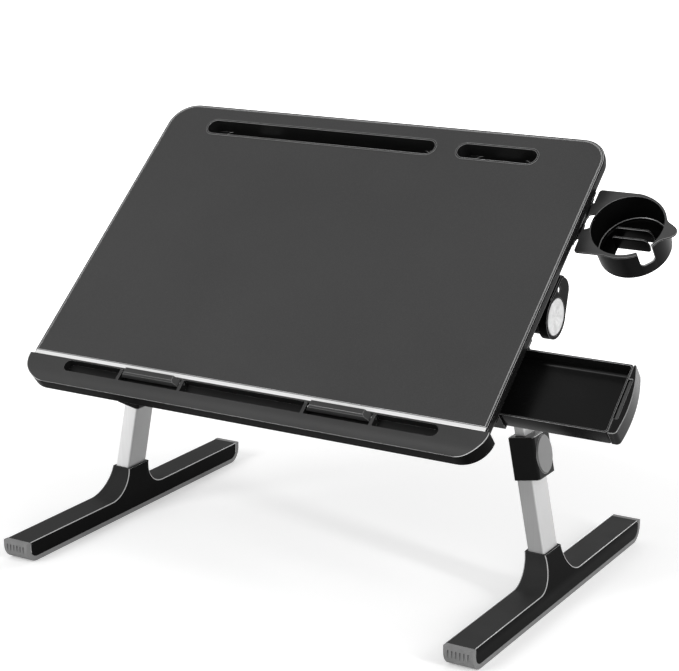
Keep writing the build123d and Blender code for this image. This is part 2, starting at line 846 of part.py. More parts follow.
def fold_yoke():
    half = yoke_half_height
    plate_start = yoke_start - yoke_plate_thickness
    yoke = block((plate_start, yoke_start), (-cheek_outer, cheek_outer), (-half, half))
    yoke += rod((yoke_start, 0, 0), to_right, bezel_start - seat_gap - yoke_start, yoke_stub_radius)
    for side in (-1, 1):
        inner, outer = sorted((side * cheek_inner, side * cheek_outer))
        yoke += block((pin_x, plate_start), (inner, outer), (-half, half))
        yoke += rod((pin_x, inner, 0), to_back, yoke_cheek_thickness, half)
    yoke -= rod((pin_x, -cheek_outer - overrun, 0), to_back, 2 * (cheek_outer + overrun), fold_pin_radius)
    screw_start = bezel_start - seat_gap - yoke_screw_length
    return yoke - rod((screw_start, 0, 0), to_right, yoke_screw_length + overrun, yoke_screw_radius)


def yoke_screw():
    seat = bezel_start - seat_gap
    screw = rod((seat - yoke_screw_length, 0, 0), to_right, yoke_screw_length, yoke_screw_radius)
    return screw + rod((seat, 0, 0), to_right, yoke_screw_head_height, yoke_screw_head_radius)


def fold_pin():
    pin = rod((pin_x, -cheek_outer, 0), to_back, 2 * cheek_outer, fold_pin_radius)
    pin += rod((pin_x, cheek_outer, 0), to_back, fold_pin_head_height, fold_pin_head_radius)
    head_start = (pin_x, -cheek_outer - fold_pin_head_height, 0)
    return pin + rod(head_start, to_back, fold_pin_head_height, fold_pin_head_radius)


def bar_down(width, depth, top, bottom, edge_radius):
    """An upright bar on the leg's axis, from top to bottom below the fold pin."""
    sketch = RectangleRounded(width, depth, edge_radius)
    return prism(sketch, -bottom, -top)


def knuckle_socket_top():
    return knuckle_length - knuckle_socket_depth


def leg_knuckle():
    knuckle = rod((0, -knuckle_width / 2, 0), to_back, knuckle_width, knuckle_radius)
    knuckle += bar_down(knuckle_neck_width, knuckle_width, 0, knuckle_length, tube_edge_radius)
    grow = 2 * running_gap
    knuckle -= bar_down(inner_tube_width + grow, inner_tube_depth + grow, knuckle_socket_top(),
                        knuckle_length + overrun, tube_edge_radius)
    bore_start = (0, -knuckle_width / 2 - overrun, 0)
    return knuckle - rod(bore_start, to_back, knuckle_width + 2 * overrun, fold_pin_radius + running_gap)


def tube(width, depth, wall, top, bottom):
    outside = bar_down(width, depth, top, bottom, tube_edge_radius)
    inside = bar_down(width - 2 * wall, depth - 2 * wall, top - overrun, bottom + overrun,
                      tube_edge_radius / 2)
    return outside - inside


def inner_tube():
    return tube(inner_tube_width, inner_tube_depth, inner_tube_wall, knuckle_socket_top(), inner_tube_end)


def outer_tube():
    outside = tube(outer_tube_width, outer_tube_depth, outer_tube_wall, outer_tube_top, outer_tube_end)
    placed = leg_place() * outside
    for hole in foot_screw_rods(screw_shank_radius + screw_hole_gap, 0, foot_screw_length):
        placed -= hole
    return placed


def tube_bush():
    grow = 2 * bush_gap
    width = outer_tube_width - 2 * outer_tube_wall - grow
    depth = outer_tube_depth - 2 * outer_tube_wall - grow
    bottom = outer_tube_top + bush_length
    bush = bar_down(width, depth, outer_tube_top, bottom, tube_edge_radius / 2)
    return bush - bar_down(inner_tube_width + 2 * grow, inner_tube_depth + 2 * grow,
                           outer_tube_top - overrun, bottom + overrun, tube_edge_radius)


def clamp_collar():
    collar = block((-collar_inboard, collar_outboard), (-collar_depth / 2, collar_depth / 2),
                   (-collar_bottom, -collar_top))
    collar = fillet(collar.edges().filter_by(Axis.Z), collar_edge_radius)
    collar = chamfer(collar.edges().group_by(Axis.Z)[-1], edge_break)
    grow = 2 * running_gap
    collar -= bar_down(outer_tube_width + grow, outer_tube_depth + grow, outer_tube_top,
                       collar_bottom + overrun, tube_edge_radius)
    slide = 2 * seat_gap
    collar -= bar_down(inner_tube_width + slide, inner_tube_depth + slide, collar_top - overrun,
                       outer_tube_top + overrun, tube_edge_radius)
    window = (outer_tube_width / 2, 0, -height_button_level)
    return collar - oval_rod(window, collar_outboard + overrun, height_button_half_depth + seat_gap,
                             height_button_half_height + seat_gap)


def height_button():
    face = collar_outboard + height_button_proud
    start = (face - height_button_thickness, 0, -height_button_level)
    button = oval_rod(start, height_button_thickness, height_button_half_depth, height_button_half_height)
    return fillet(button.edges().group_by(Axis.X)[-1], edge_break)


def height_spring():
    start = outer_tube_width / 2 + running_gap
    length = collar_outboard + height_button_proud - height_button_thickness - start
    return coil_blank((start, 0, -height_button_level), length, spring_radius)


def foot_side_view(front, back, low, corner_radius):
    sketch = Pos((back - front) / 2, (low + foot_height) / 2) * Rectangle(front + back, foot_height - low)
    return fillet(sketch.vertices().group_by(Axis.Y)[0], corner_radius)


def foot_body_view():
    front = foot_front - sole_end_thickness
    back = foot_back - sole_end_thickness
    return foot_side_view(front, back, sole_thickness, foot_end_radius)


def leg_x(level):
    """Where the leg's axis is across the table, at a level above the floor."""
    return pin_x + (axis_height - level) * splay_slope


def foot_end_view():
    half = foot_width / 2
    lean = leg_x(socket_height) - foot_x
    top = [(lean + socket_half_width, socket_height), (lean - socket_half_width, socket_height)]
    return polygon([(-half, 0), (half, 0), (half, socket_slope_start), *top, (-half, socket_slope_start)])


def foot():
    post = Pos(0, (foot_height + socket_height) / 2) * Rectangle(socket_depth, socket_height - foot_height)
    side = foot_body_view() + post
    crotches = side.vertices().filter_by(lambda vertex: abs(vertex.Y - foot_height) < edge_break
                                         and abs(vertex.X) < socket_depth)
    side = fillet(crotches, socket_flare_radius)
    body = across(side, 2 * foot_width) & along_depth(foot_end_view(), 2 * (foot_front + foot_back))
    body = Pos(foot_x, 0, 0) * body
    grow = 2 * running_gap
    hole = bar_down(outer_tube_width + grow, outer_tube_depth + grow, collar_top, outer_tube_end,
                    tube_edge_radius)
    body -= leg_place() * hole
    for hole in foot_screw_rods(screw_shank_radius + screw_hole_gap, 0, foot_screw_length):
        body -= hole
    for pocket in foot_screw_rods(screw_head_radius + seat_gap, -foot_width, foot_width):
        body -= pocket
    return body


def foot_sole():
    outer = foot_side_view(foot_front, foot_back, 0, sole_end_radius)
    sole = across(outer - foot_body_view(), foot_width)
    first = -(sole_slot_count - 1) / 2 * sole_slot_pitch
    for index in range(sole_slot_count):
        middle = first + index * sole_slot_pitch
        sole -= block((middle - sole_slot_width / 2, middle + sole_slot_width / 2),
                      (-foot_front - overrun, sole_slot_depth - foot_front), (sole_slot_low, sole_slot_high))
    return Pos(foot_x, 0, 0) * sole


def foot_screw_rods(radius, start, length):
    """One rod for each screw that holds the tube in its socket, set off from the screw's seat."""
    rods = []
    for side in (-1, 1):
        x = leg_x(foot_screw_level) + side * foot_screw_spacing / 2
        rods.append(rod((x, foot_screw_seat - start, foot_screw_level), to_front, length, radius))
    return rods


def foot_screws():
    shanks = foot_screw_rods(screw_shank_radius, 0, foot_screw_length)
    heads = foot_screw_rods(screw_head_radius, -screw_head_height, screw_head_height)
    return Compound([(shank + head).solid() for shank, head in zip(shanks, heads)])


def leg_place():
    return Pos(pin_x, 0, axis_height) * Rot(0, -splay_angle, 0)


def desk_pieces():
    pieces = {
        "desk_panel": desk_panel(),
        "under_tray": under_tray(),
        "accent_strip": accent_strip(),
        "front_rail": front_rail(),
        "rail_screws": rail_screws(),
        "stop_bar_left": stop_bar(-1),
        "stop_bar_right": stop_bar(1),
        "stop_hinge_pins": stop_hinge_pins(),
        "tablet_slot_liner": slot_liner(tablet_slot_place, tablet_slot_length, tablet_slit_share),
        "phone_slot_liner": slot_liner(phone_slot_place, phone_slot_length, phone_slit_share),
        "tablet_slot_well": slot_well(tablet_slot_place, tablet_slot_length, tablet_slit_share),
        "phone_slot_well": slot_well(phone_slot_place, phone_slot_length, phone_slit_share),
        "stiffener_front": stiffener(front_stiffener_place, front_stiffener_right_end),
        "stiffener_rear": stiffener(rear_stiffener_place, rear_stiffener_right_end),
        "tray_screws": tray_screws(),
        "drawer_housing": drawer_housing(),
        "drawer_runners": drawer_runners(),
        "drawer_tray": drawer_tray(),
        "drawer_grip": drawer_grip(),
        "cup_holder": cup_holder(),
        "cup_rails": cup_rails(),
    }
    return pieces


def side_pieces():
    """Pieces of the right-hand hinge and leg, in place."""
    desk = Pos(0, 0, axis_height) * Rot(tilt_angle, 0, 0)
    hinge = Pos(0, 0, axis_height)
    leg = leg_place()
    return {
        "hinge_bracket": desk * hinge_bracket(),
        "tilt_bezel": desk * tilt_bezel(),
        "tilt_button": desk * tilt_button(),
        "tilt_spring": desk * tilt_spring(),
        "tilt_core": hinge * tilt_core(),
        "fold_yoke": hinge * fold_yoke(),
        "yoke_screw": hinge * yoke_screw(),
        "fold_pin": hinge * fold_pin(),
        "leg_knuckle": leg * leg_knuckle(),
        "inner_tube": leg * inner_tube(),
        "outer_tube": outer_tube(),
        "tube_bush": leg * tube_bush(),
        "clamp_collar": leg * clamp_collar(),
        "height_button": leg * height_button(),
        "height_spring": leg * height_spring(),
        "foot": foot(),
        "foot_sole": foot_sole(),
        "foot_screws": foot_screws(),
    }


def assemble():
    desk = Pos(0, 0, axis_height) * Rot(tilt_angle, 0, 0)
    nodes = {name: desk * piece for name, piece in desk_pieces().items()}
    for name, piece in side_pieces().items():
        nodes[name + "_right"] = piece
        nodes[name + "_left"] = mirror(piece, about=Plane.YZ)
    return nodes


def middle_of(nodes):
    box = Compound(list(nodes.values())).bounding_box()
    return (box.min.X + box.max.X) / 2, (box.min.Y + box.max.Y) / 2


nodes = assemble()
middle_x, middle_y = middle_of(nodes)
os.makedirs("parts", exist_ok=True)
for name, piece in nodes.items():
    export_step(Pos(-middle_x, -middle_y, 0) * piece, f"parts/{name}.step")
print(len(nodes), "nodes, moved by", -middle_x, -middle_y)
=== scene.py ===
import json
from math import atan2, cos, exp, pi, radians, sin, sqrt
import bmesh
import bpy
from mathutils import Euler, Matrix, Vector

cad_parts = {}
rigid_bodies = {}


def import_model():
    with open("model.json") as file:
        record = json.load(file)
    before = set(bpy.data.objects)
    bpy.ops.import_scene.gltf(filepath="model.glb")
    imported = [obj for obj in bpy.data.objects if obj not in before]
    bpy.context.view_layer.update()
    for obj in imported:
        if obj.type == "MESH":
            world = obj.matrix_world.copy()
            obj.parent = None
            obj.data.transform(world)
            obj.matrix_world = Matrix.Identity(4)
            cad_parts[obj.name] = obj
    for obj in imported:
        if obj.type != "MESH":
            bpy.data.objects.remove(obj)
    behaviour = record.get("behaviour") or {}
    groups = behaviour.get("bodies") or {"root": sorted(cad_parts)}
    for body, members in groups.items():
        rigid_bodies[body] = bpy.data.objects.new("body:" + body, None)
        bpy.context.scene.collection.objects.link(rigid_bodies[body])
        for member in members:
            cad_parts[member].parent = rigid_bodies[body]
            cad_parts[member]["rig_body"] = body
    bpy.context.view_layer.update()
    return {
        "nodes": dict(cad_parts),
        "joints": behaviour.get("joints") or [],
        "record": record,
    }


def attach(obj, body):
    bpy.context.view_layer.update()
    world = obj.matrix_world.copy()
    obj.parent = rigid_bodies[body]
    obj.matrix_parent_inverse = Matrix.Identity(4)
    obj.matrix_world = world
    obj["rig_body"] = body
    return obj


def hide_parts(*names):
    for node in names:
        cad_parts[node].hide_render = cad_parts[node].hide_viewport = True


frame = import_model()
scene = bpy.context.scene
nodes = frame["nodes"]
joints = {joint["name"]: joint for joint in frame["joints"]}
slotOf = {row["node"]: row["material_slot"] for row in frame["record"]["subparts"]}
sides = {"right": 1, "left": -1}
mm = 0.001
weld = 2e-6  # points of a solid's mesh closer than this are one

# the desk is drawn flat about its tilt axis and turned into place, each leg hangs down from its fold pin
tiltPlaces = [Vector(joints["tilt_" + side]["pos_m"]) for side in sides]
tiltAngle = radians(-min(joints["tilt_right"]["range_deg"]))
deskPlace = Matrix.Translation((tiltPlaces[0] + tiltPlaces[1]) / 2) @ Matrix.Rotation(tiltAngle, 4, "X")
deskBack = deskPlace.inverted()
deskUp = deskPlace.to_3x3() @ Vector((0, 0, 1))
legPlace = {}
for side in sides:
    up = Vector(joints["height_" + side]["axis"])
    pin = Vector(joints["fold_" + side]["pos_m"])
    legPlace[side] = Matrix.Translation(pin) @ Matrix.Rotation(atan2(up.x, up.z), 4, "Y")
print("frame: desk axis at", [round(v, 4) for v in deskPlace.translation])


class Wire:  # a socket that can start a sum
    def __init__(self, tree, socket):
        self.tree, self.socket = tree, socket

    def work(self, operation, other):
        return self.tree.add("ShaderNodeMath", {"operation": operation}, {0: self, 1: other})

    def __add__(self, other):
        return self.work("ADD", other)

    def __sub__(self, other):
        return self.work("SUBTRACT", other)

    def __mul__(self, other):
        return self.work("MULTIPLY", other)

    def __truediv__(self, other):
        return self.work("DIVIDE", other)


class Tree:  # a node tree, and one method that adds any node
    def add(self, kind, settings=None, sockets=None, out=0):
        node = self.tree.nodes.new(kind if kind.startswith("ShaderNode") else self.family + kind)
        for key, value in (settings or {}).items():
            if key == "stops":
                ramp = node.color_ramp.elements
                while len(ramp) < len(value):
                    ramp.new(0.5)
                for stop, (place, shade) in zip(ramp, value):
                    stop.position, stop.color = place, (shade, shade, shade, 1)
            else:
                setattr(node, key, value)
        for key, value in (sockets or {}).items():
            self.join(value, node.inputs[key])
        return Wire(self, node.outputs[out]) if node.outputs else node

    def join(self, value, socket):
        if isinstance(value, list):
            for wire in value:
                self.tree.links.new(wire.socket, socket)
        elif isinstance(value, Wire):
            self.tree.links.new(value.socket, socket)
        else:
            socket.default_value = value


class Finish(Tree):
    family = "ShaderNode"

    def __init__(self, name, holder=None):
        self.holder = holder or bpy.data.materials.new(name)
        self.holder.use_nodes = True
        self.tree = self.holder.node_tree
        self.tree.nodes.clear()

    def place(self, scale=(1, 1, 1), turn=(0, 0, 0), shift=(0, 0, 0)):
        spot = self.add("TexCoord", out="Object")
        return self.add("Mapping", sockets={"Vector": spot, "Location": shift, "Rotation": turn,
                                            "Scale": scale})

    def noise(self, size, detail=2.0, spot=None, distortion=0.0):
        spot = spot or self.add("TexCoord", out="Object")
        return self.add("TexNoise", sockets={"Vector": spot, "Scale": 1 / size, "Detail": detail,
                                             "Distortion": distortion})

    def cells(self, size):
        spot = self.add("TexCoord", out="Object")
        return self.add("TexVoronoi", {"feature": "F1"}, {"Vector": spot, "Scale": 1 / size})

    def ramp(self, value, stops):
        return self.add("ValToRGB", {"stops": stops}, {0: value})

    def colour(self, factor, first, second):
        return self.add("Mix", {"data_type": "RGBA"}, {0: factor, 6: (*first, 1), 7: (*second, 1)}, out=2)

    def bump(self, height, distance, strength=1.0):
        return self.add("Bump", sockets={"Height": height, "Distance": distance, "Strength": strength})

    def surface(self, sockets):
        shader = self.add("BsdfPrincipled", sockets=sockets)
        self.add("OutputMaterial", sockets={0: shader})
        return self.holder


class Shape(Tree):  # a geometry tree with named inputs that ends in one material
    family = "GeometryNode"

    def __init__(self, name, inputs):
        self.tree = bpy.data.node_groups.new(name, "GeometryNodeTree")
        self.tree.interface.new_socket("Geometry", in_out="INPUT", socket_type="NodeSocketGeometry")
        self.tree.interface.new_socket("Geometry", in_out="OUTPUT", socket_type="NodeSocketGeometry")
        for label, value in inputs.items():
            kind = "NodeSocketInt" if isinstance(value, int) else "NodeSocketFloat"
            self.tree.interface.new_socket(label, in_out="INPUT", socket_type=kind).default_value = value
        self.source = self.tree.nodes.new("NodeGroupInput")

    def given(self, label):
        return Wire(self, self.source.outputs[label])

    def vector(self, x, y, z):
        return self.add("ShaderNodeCombineXYZ", sockets={0: x, 1: y, 2: z})

    def moved(self, geometry, shift=(0, 0, 0), scale=(1, 1, 1), turn=(0, 0, 0)):
        return self.add("Transform", sockets={"Geometry": geometry, "Translation": shift, "Rotation": turn,
                                              "Scale": scale})

    def end(self, geometry, material):
        whole = self.add("RealizeInstances", sockets={0: geometry})
        painted = self.add("SetMaterial", sockets={"Geometry": whole, "Material": material})
        self.tree.links.new(painted.socket, self.tree.nodes.new("NodeGroupOutput").inputs[0])
        return self.tree


def grey(level):
    return (level, level, level)


# charcoal film of the desk: a fine pressed grain with a soft cloud of wear in the sheen
deskFilm = {"tone": (0.043, 0.060), "grain": 0.55 * mm, "pebble": 1.3 * mm, "cloud": 0.16,
            "rough": 0.40, "roughSwing": 0.12, "shine": 0.12, "depth": 0.05 * mm}


def filmFinish(name):
    look = Finish(name)
    grain = look.noise(deskFilm["grain"], 3.0)
    pebble = look.cells(deskFilm["pebble"])
    cloud = look.noise(deskFilm["cloud"], 3.0)
    tone = grain * 0.55 + cloud * 0.25 + pebble * 0.2
    return look.surface({
        "Base Color": look.colour(look.ramp(tone, [(0.34, 0.0), (0.66, 1.0)]), *map(grey, deskFilm["tone"])),
        "Roughness": cloud * deskFilm["roughSwing"] + grain * 0.08 + deskFilm["rough"],
        "Specular IOR Level": deskFilm["shine"],
        "Normal": look.bump(grain * 0.6 + pebble * 0.4, deskFilm["depth"], 0.5)})


# moulded plastics: spark-eroded grain, flow clouds in the gloss, a little dust on faces that look up
# dark and light tone, roughness and its swing, grain size and depth in millimetres, shine, coat
plastics = {
    "rail_plastic": ((0.040, 0.056), (0.45, 0.10), (0.5, 0.03), 0.12, 0.0),
    "tray_plastic": ((0.007, 0.012), (0.27, 0.10), (0.7, 0.015), 0.02, 0.0),
    "slot_plastic": ((0.009, 0.015), (0.36, 0.10), (0.5, 0.02), 0.1, 0.0),
    "drawer_plastic": ((0.004, 0.007), (0.25, 0.08), (0.7, 0.012), 0.1, 0.01),
    # the cup plate's top: a lighter tone that is painted light
    "cup_top": ((0.054, 0.073), (0.42, 0.10), (0.5, 0.03), 0.14, 0.0),
    "cup_plastic": ((0.002, 0.004), (0.33, 0.10), (0.5, 0.02), 0.035, 0.0),
    "hinge_plastic": ((0.002, 0.004), (0.33, 0.10), (0.5, 0.02), 0.012, 0.0),
    "collar_plastic": ((0.004, 0.007), (0.22, 0.08), (0.6, 0.012), 0.05, 0.01),
    "foot_plastic": ((0.029, 0.041), (0.47, 0.12), (0.6, 0.04), 0.015, 0.0),
    "black_side": ((0.002, 0.004), (0.34, 0.08), (0.7, 0.012), 0.018, 0.0),
    # the finger recess bed: a lighter tone that is painted light
    "finger_recess": ((0.05, 0.07), (0.42, 0.10), (0.5, 0.03), 0.3, 0.0),
    # painted highlights for rounded edges and bead lines
    "bright_edge": ((0.46, 0.58), (0.24, 0.06), (0.7, 0.008), 0.5, 0.1),
    "polished_edge": ((0.19, 0.26), (0.24, 0.06), (0.7, 0.008), 0.5, 0.1),
}
mould = {"flow": 0.07, "flowStretch": (1, 2.2, 1.4), "flowTwist": 0.6, "coatRough": 0.12, "grainBump": 0.5}


def plasticFinish(name):
    tone, gloss, (grainSize, grainDepth), shine, coat = plastics[name]
    look = Finish(name)
    grain = look.noise(grainSize * mm, 3.0)
    flow = look.noise(mould["flow"], 3.0, look.place(scale=mould["flowStretch"]), mould["flowTwist"])
    up = look.add("SeparateXYZ", sockets={0: look.add("NewGeometry", out="Normal")}, out="Z")
    dust = look.ramp(up, [(0.55, 0.0), (0.98, 1.0)]) * look.ramp(flow, [(0.42, 0.0), (0.72, 1.0)])
    blend = look.ramp(grain * 0.6 + flow * 0.4, [(0.32, 0.0), (0.68, 1.0)])
    return look.surface({
        "Base Color": look.colour(blend * 0.8 + dust * 0.2, *map(grey, tone)),
        "Roughness": flow * gloss[1] + dust * 0.08 + grain * 0.06 + (gloss[0] - 0.08),
        "Specular IOR Level": shine, "Coat Weight": coat, "Coat Roughness": mould["coatRough"],
        "Normal": look.bump(grain, grainDepth * mm, mould["grainBump"])})


# satin silver parts: each tube's tone is painted light and shade, the second tone on faces that look right,
# the first on the rest, set apart for each leg
silver = {"tubeTone": {"right": (0.34, 0.54), "left": (0.80, 0.33)}, "tubeSwing": 0.07, "tubeMetal": 0.3,
          "tubeLines": (2600, 2600, 14), "cloud": 0.05, "strip": (0.74, 0.83), "stripMetal": 0.25,
          "stripLines": (9, 2200, 2200), "lineDepth": 0.01 * mm}


def tubeFinish(name, turn, litShadedTones):  # drawn aluminium, lines along the tube, with painted light and shade by which way a face looks
    look = Finish(name)
    drawn = look.noise(1.0, 3.0, look.place(scale=silver["tubeLines"], turn=(0, turn, 0)))
    cloud = look.noise(silver["cloud"], 2.0)
    # faces that look right get the second tone: painted light
    across = look.add("SeparateXYZ", sockets={0: look.add("NewGeometry", out="Normal")}, out="X")
    paintedLightRight = look.ramp(across, [(0.25, 0.0), (0.75, 1.0)])
    streak = look.ramp(drawn * 0.7 + cloud * 0.3, [(0.3, 0.0), (0.7, 1.0)])
    swing = silver["tubeSwing"]
    rest, right = [look.colour(streak, grey(tone * (1 - swing)), grey(tone * (1 + swing))) for tone in litShadedTones]
    return look.surface({
        "Base Color": look.add("Mix", {"data_type": "RGBA"}, {0: paintedLightRight, 6: rest, 7: right}, out=2),
        "Metallic": silver["tubeMetal"], "Specular IOR Level": 0.5,
        "Roughness": drawn * 0.14 + cloud * 0.06 + 0.28,
        "Normal": look.bump(drawn, silver["lineDepth"], 0.4)})


def stripFinish(name):  # anodised strip, lines along the desk
    look = Finish(name)
    drawn = look.noise(1.0, 3.0, look.place(scale=silver["stripLines"]))
    return look.surface({
        "Base Color": look.colour(drawn, *map(grey, silver["strip"])),
        "Metallic": silver["stripMetal"], "Roughness": drawn * 0.16 + 0.3,
        "Normal": look.bump(drawn, silver["lineDepth"], 0.4)})


steel = {"tone": (0.46, 0.68), "scratch": 0.9 * mm, "cloud": 6 * mm, "depth": 0.01 * mm}


def steelFinish(name):  # plated screws, pins and springs
    look = Finish(name)
    scratch = look.noise(steel["scratch"], 4.0)
    cloud = look.noise(steel["cloud"], 2.0)
    return look.surface({
        "Base Color": look.colour(cloud * 0.6 + scratch * 0.4, *map(grey, steel["tone"])),
        "Metallic": 1.0, "Roughness": scratch * 0.2 + cloud * 0.1 + 0.18,
        "Normal": look.bump(scratch, steel["depth"], 0.3)})


buttons = {"button_white": (0.36, 0.76), "button_grey": (0.13, 0.18), "rings": 1500, "sheen": 60,
           "grain": 0.5 * mm, "cloud": 12 * mm, "depth": 0.02 * mm}


def whiteButtonFinish(name):  # turned face, fine rings round the tilt axis, and a broad swirl of painted sheen in its colour
    look = Finish(name)
    spot = look.place(shift=tuple(-deskPlace.translation))
    y, z = (look.add("SeparateXYZ", sockets={0: spot}, out=axis) for axis in "YZ")
    angle = look.add("Math", {"operation": "ARCTAN2"}, {0: z, 1: y})
    reach = look.add("Math", {"operation": "SQRT"}, {0: y * y + z * z})
    swirl = look.add("CombineXYZ", sockets={0: angle * 1.2, 1: reach * buttons["rings"], 2: 0.0})
    rings = look.noise(1.0, 3.0, swirl)
    # a broad swirl of painted sheen, mixed into the colour
    sweep = look.add("CombineXYZ", sockets={0: angle * 1.6, 1: reach * buttons["sheen"], 2: 0.0})
    sheen = look.noise(1.0, 1.0, sweep)
    mix = rings * 0.45 + sheen * 0.55
    return look.surface({
        "Base Color": look.colour(look.ramp(mix, [(0.3, 0.0), (0.7, 1.0)]), *map(grey, buttons[name])),
        "Metallic": 0.15, "Roughness": rings * 0.2 + 0.26,
        "Normal": look.bump(rings, buttons["depth"], 0.5)})


def greyButtonFinish(name):
    look = Finish(name)
    grain = look.noise(buttons["grain"], 3.0)
    cloud = look.noise(buttons["cloud"], 2.0)
    return look.surface({
        "Base Color": look.colour(grain * 0.5 + cloud * 0.5, *map(grey, buttons[name])),
        "Roughness": cloud * 0.12 + grain * 0.08 + 0.3,
        "Normal": look.bump(grain, buttons["depth"], 0.4)})


sole = {"tone": (0.17, 0.245), "grain": 0.45 * mm, "scuff": 0.03, "depth": 0.06 * mm}


def soleFinish(name):  # soft grey rubber
    look = Finish(name)
    grain = look.noise(sole["grain"], 4.0)
    scuff = look.noise(sole["scuff"], 4.0, look.place(scale=(3, 1, 1)), 0.5)
    blend = look.ramp(grain * 0.45 + scuff * 0.55, [(0.3, 0.0), (0.7, 1.0)])
    return look.surface({
        "Base Color": look.colour(blend, *map(grey, sole["tone"])),
        "Roughness": scuff * 0.16 + 0.56, "Specular IOR Level": 0.3,
        "Normal": look.bump(grain, sole["depth"], 0.5)})


makers = {**{name: plasticFinish for name in plastics}, "desk_film": filmFinish, "strip_silver": stripFinish,
          "steel": steelFinish, "button_white": whiteButtonFinish, "button_grey": greyButtonFinish,
          "sole_rubber": soleFinish}
finishes = {name: make(name) for name, make in makers.items()}
# each leg gets its own copy of the aluminium, lit and shaded by painted tones
litShadedTubeFinishes = {}
for side in sides:
    lean = atan2(*(joints["height_" + side]["axis"][k] for k in (0, 2)))
    litShadedTubeFinishes[side] = tubeFinish("leg_aluminium_" + side, -lean, silver["tubeTone"][side])
finishes["leg_aluminium"] = litShadedTubeFinishes["right"]
print("finishes:", len(finishes))

for name, obj in nodes.items():
    mat = finishes[slotOf[name]]
    if slotOf[name] == "leg_aluminium":
        mat = litShadedTubeFinishes["left" if name.endswith("left") else "right"]
    for slot in obj.material_slots:
        slot.link = "OBJECT"
        slot.material = mat


def onDesk(point):  # a point in the desk's own frame, in millimetres
    return deskBack @ point / mm


def corners(spots):  # lowest and highest corner of the box round some points
    return [Vector([side(spot[k] for spot in spots) for k in range(3)]) for side in (min, max)]


def pieceName(node):
    head, *rest = node.split("_")
    return head + "".join(word.capitalize() for word in rest)


def newObject(name, data):
    obj = bpy.data.objects.new(name, data)
    scene.collection.objects.link(obj)
    return obj


def newMesh(name, bm):
    mesh = bpy.data.meshes.new(name)
    bm.to_mesh(mesh)
    bm.free()
    return mesh


def addPiece(name, mesh, body, mats, replaced=()):
    obj = newObject(name, mesh)
    kept = [poly.material_index for poly in mesh.polygons]  # clearing the list sets these to 0
    mesh.materials.clear()
    for mat in mats:
        mesh.materials.append(mat)
    mesh.polygons.foreach_set("material_index", kept)
    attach(obj, body)
    if replaced:
        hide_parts(*replaced)


def standIn(node, mesh, mats=None):  # a piece that takes the place of a node, with its body and slot
    mats = mats or [finishes[slotOf[node]]]
    addPiece(pieceName(node), mesh, nodes[node]["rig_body"], mats, [node])


def plainMesh(obj, name):
    bpy.context.view_layer.update()
    seen = obj.evaluated_get(bpy.context.evaluated_depsgraph_get())
    mesh = bpy.data.meshes.new_from_object(seen)
    mesh.name = name
    bpy.data.objects.remove(obj)
    return mesh


def smooth(mesh, angle=35):
    mesh.polygons.foreach_set("use_smooth", [True] * len(mesh.polygons))
    mesh.set_sharp_from_angle(angle=radians(angle))
    mesh.update()


def rounded(name, mesh, width, steps, angle=28):  # round the edges of a mesh, keep its flats flat
    obj = newObject(name, mesh)
    if width:
        bevel = obj.modifiers.new("edges", "BEVEL")
        bevel.width, bevel.segments = width, steps
        bevel.limit_method, bevel.angle_limit = "ANGLE", radians(angle)
        bevel.use_clamp_overlap = True
        bevel.miter_outer = "MITER_ARC"
        bevel.material = len(mesh.materials) - 1
    flat = obj.modifiers.new("flats", "WEIGHTED_NORMAL")
    flat.keep_sharp, flat.weight = True, 60
    return plainMesh(obj, name)


def joined(name, meshes):
    bm = bmesh.new()
    for mesh in meshes:
        bm.from_mesh(mesh)
    return newMesh(name, bm)


def mergedCopy(node):
    bm = bmesh.new()
    bm.from_mesh(nodes[node].data)
    for layer in list(bm.loops.layers.uv):
        bm.loops.layers.uv.remove(layer)
    bmesh.ops.remove_doubles(bm, verts=bm.verts, dist=weld)
    bmesh.ops.dissolve_limit(bm, angle_limit=radians(0.4), verts=bm.verts, edges=bm.edges)
    mesh = newMesh(node, bm)
    for attribute in ("custom_normal", "sharp_edge", "sharp_face"):
        if attribute in mesh.attributes:
            mesh.attributes.remove(mesh.attributes[attribute])
    return mesh


# moulded and cut pieces that keep the solid's shape and get their rounded edges, which mostly take a painted
# highlight: width of the rounding, steps
paintedHighlight = finishes["polished_edge"]
roundedPieces = {
    "desk_panel": (0.25, 2), "under_tray": (0.4, 2), "accent_strip": (0.5, 2), "front_rail": (0.6, 2),
    "stop_bar_left": (0.8, 2), "stop_bar_right": (0.8, 2),
    "tablet_slot_liner": (0.25, 2), "phone_slot_liner": (0.25, 2),
    "tablet_slot_well": (0.8, 2), "phone_slot_well": (0.8, 2), "stiffener_front": (0.3, 1),
    "stiffener_rear": (0.3, 1), "drawer_runners": (0.4, 2), "drawer_housing": (0.6, 2),
    "drawer_grip": (0.7, 2), "cup_rails": (0.5, 2),
}
sidePieces = {
    "hinge_bracket": (0.7, 2), "tilt_bezel": (0.5, 2), "fold_yoke": (0.7, 2), "leg_knuckle": (0.8, 2),
    "clamp_collar": (0.6, 2), "height_button": (0.0, 0), "foot": (1.1, 2), "foot_sole": (0.5, 2),
}
feet = ("foot_right", "foot_left")
# these pieces take the strong painted highlight on their roundings and bead lines
strongHighlightPieces = ("desk_panel", "under_tray", "front_rail", *feet)
unhighlightedPieces = ("accent_strip", "height_button", "foot_sole")  # these keep one finish all over, with no painted highlight
for stem, rule in sidePieces.items():
    for side in sides:
        roundedPieces[f"{stem}_{side}"] = rule
smoothOnly = ["tilt_core", "fold_pin", "yoke_screw", "tilt_spring", "height_spring", "tube_bush"]


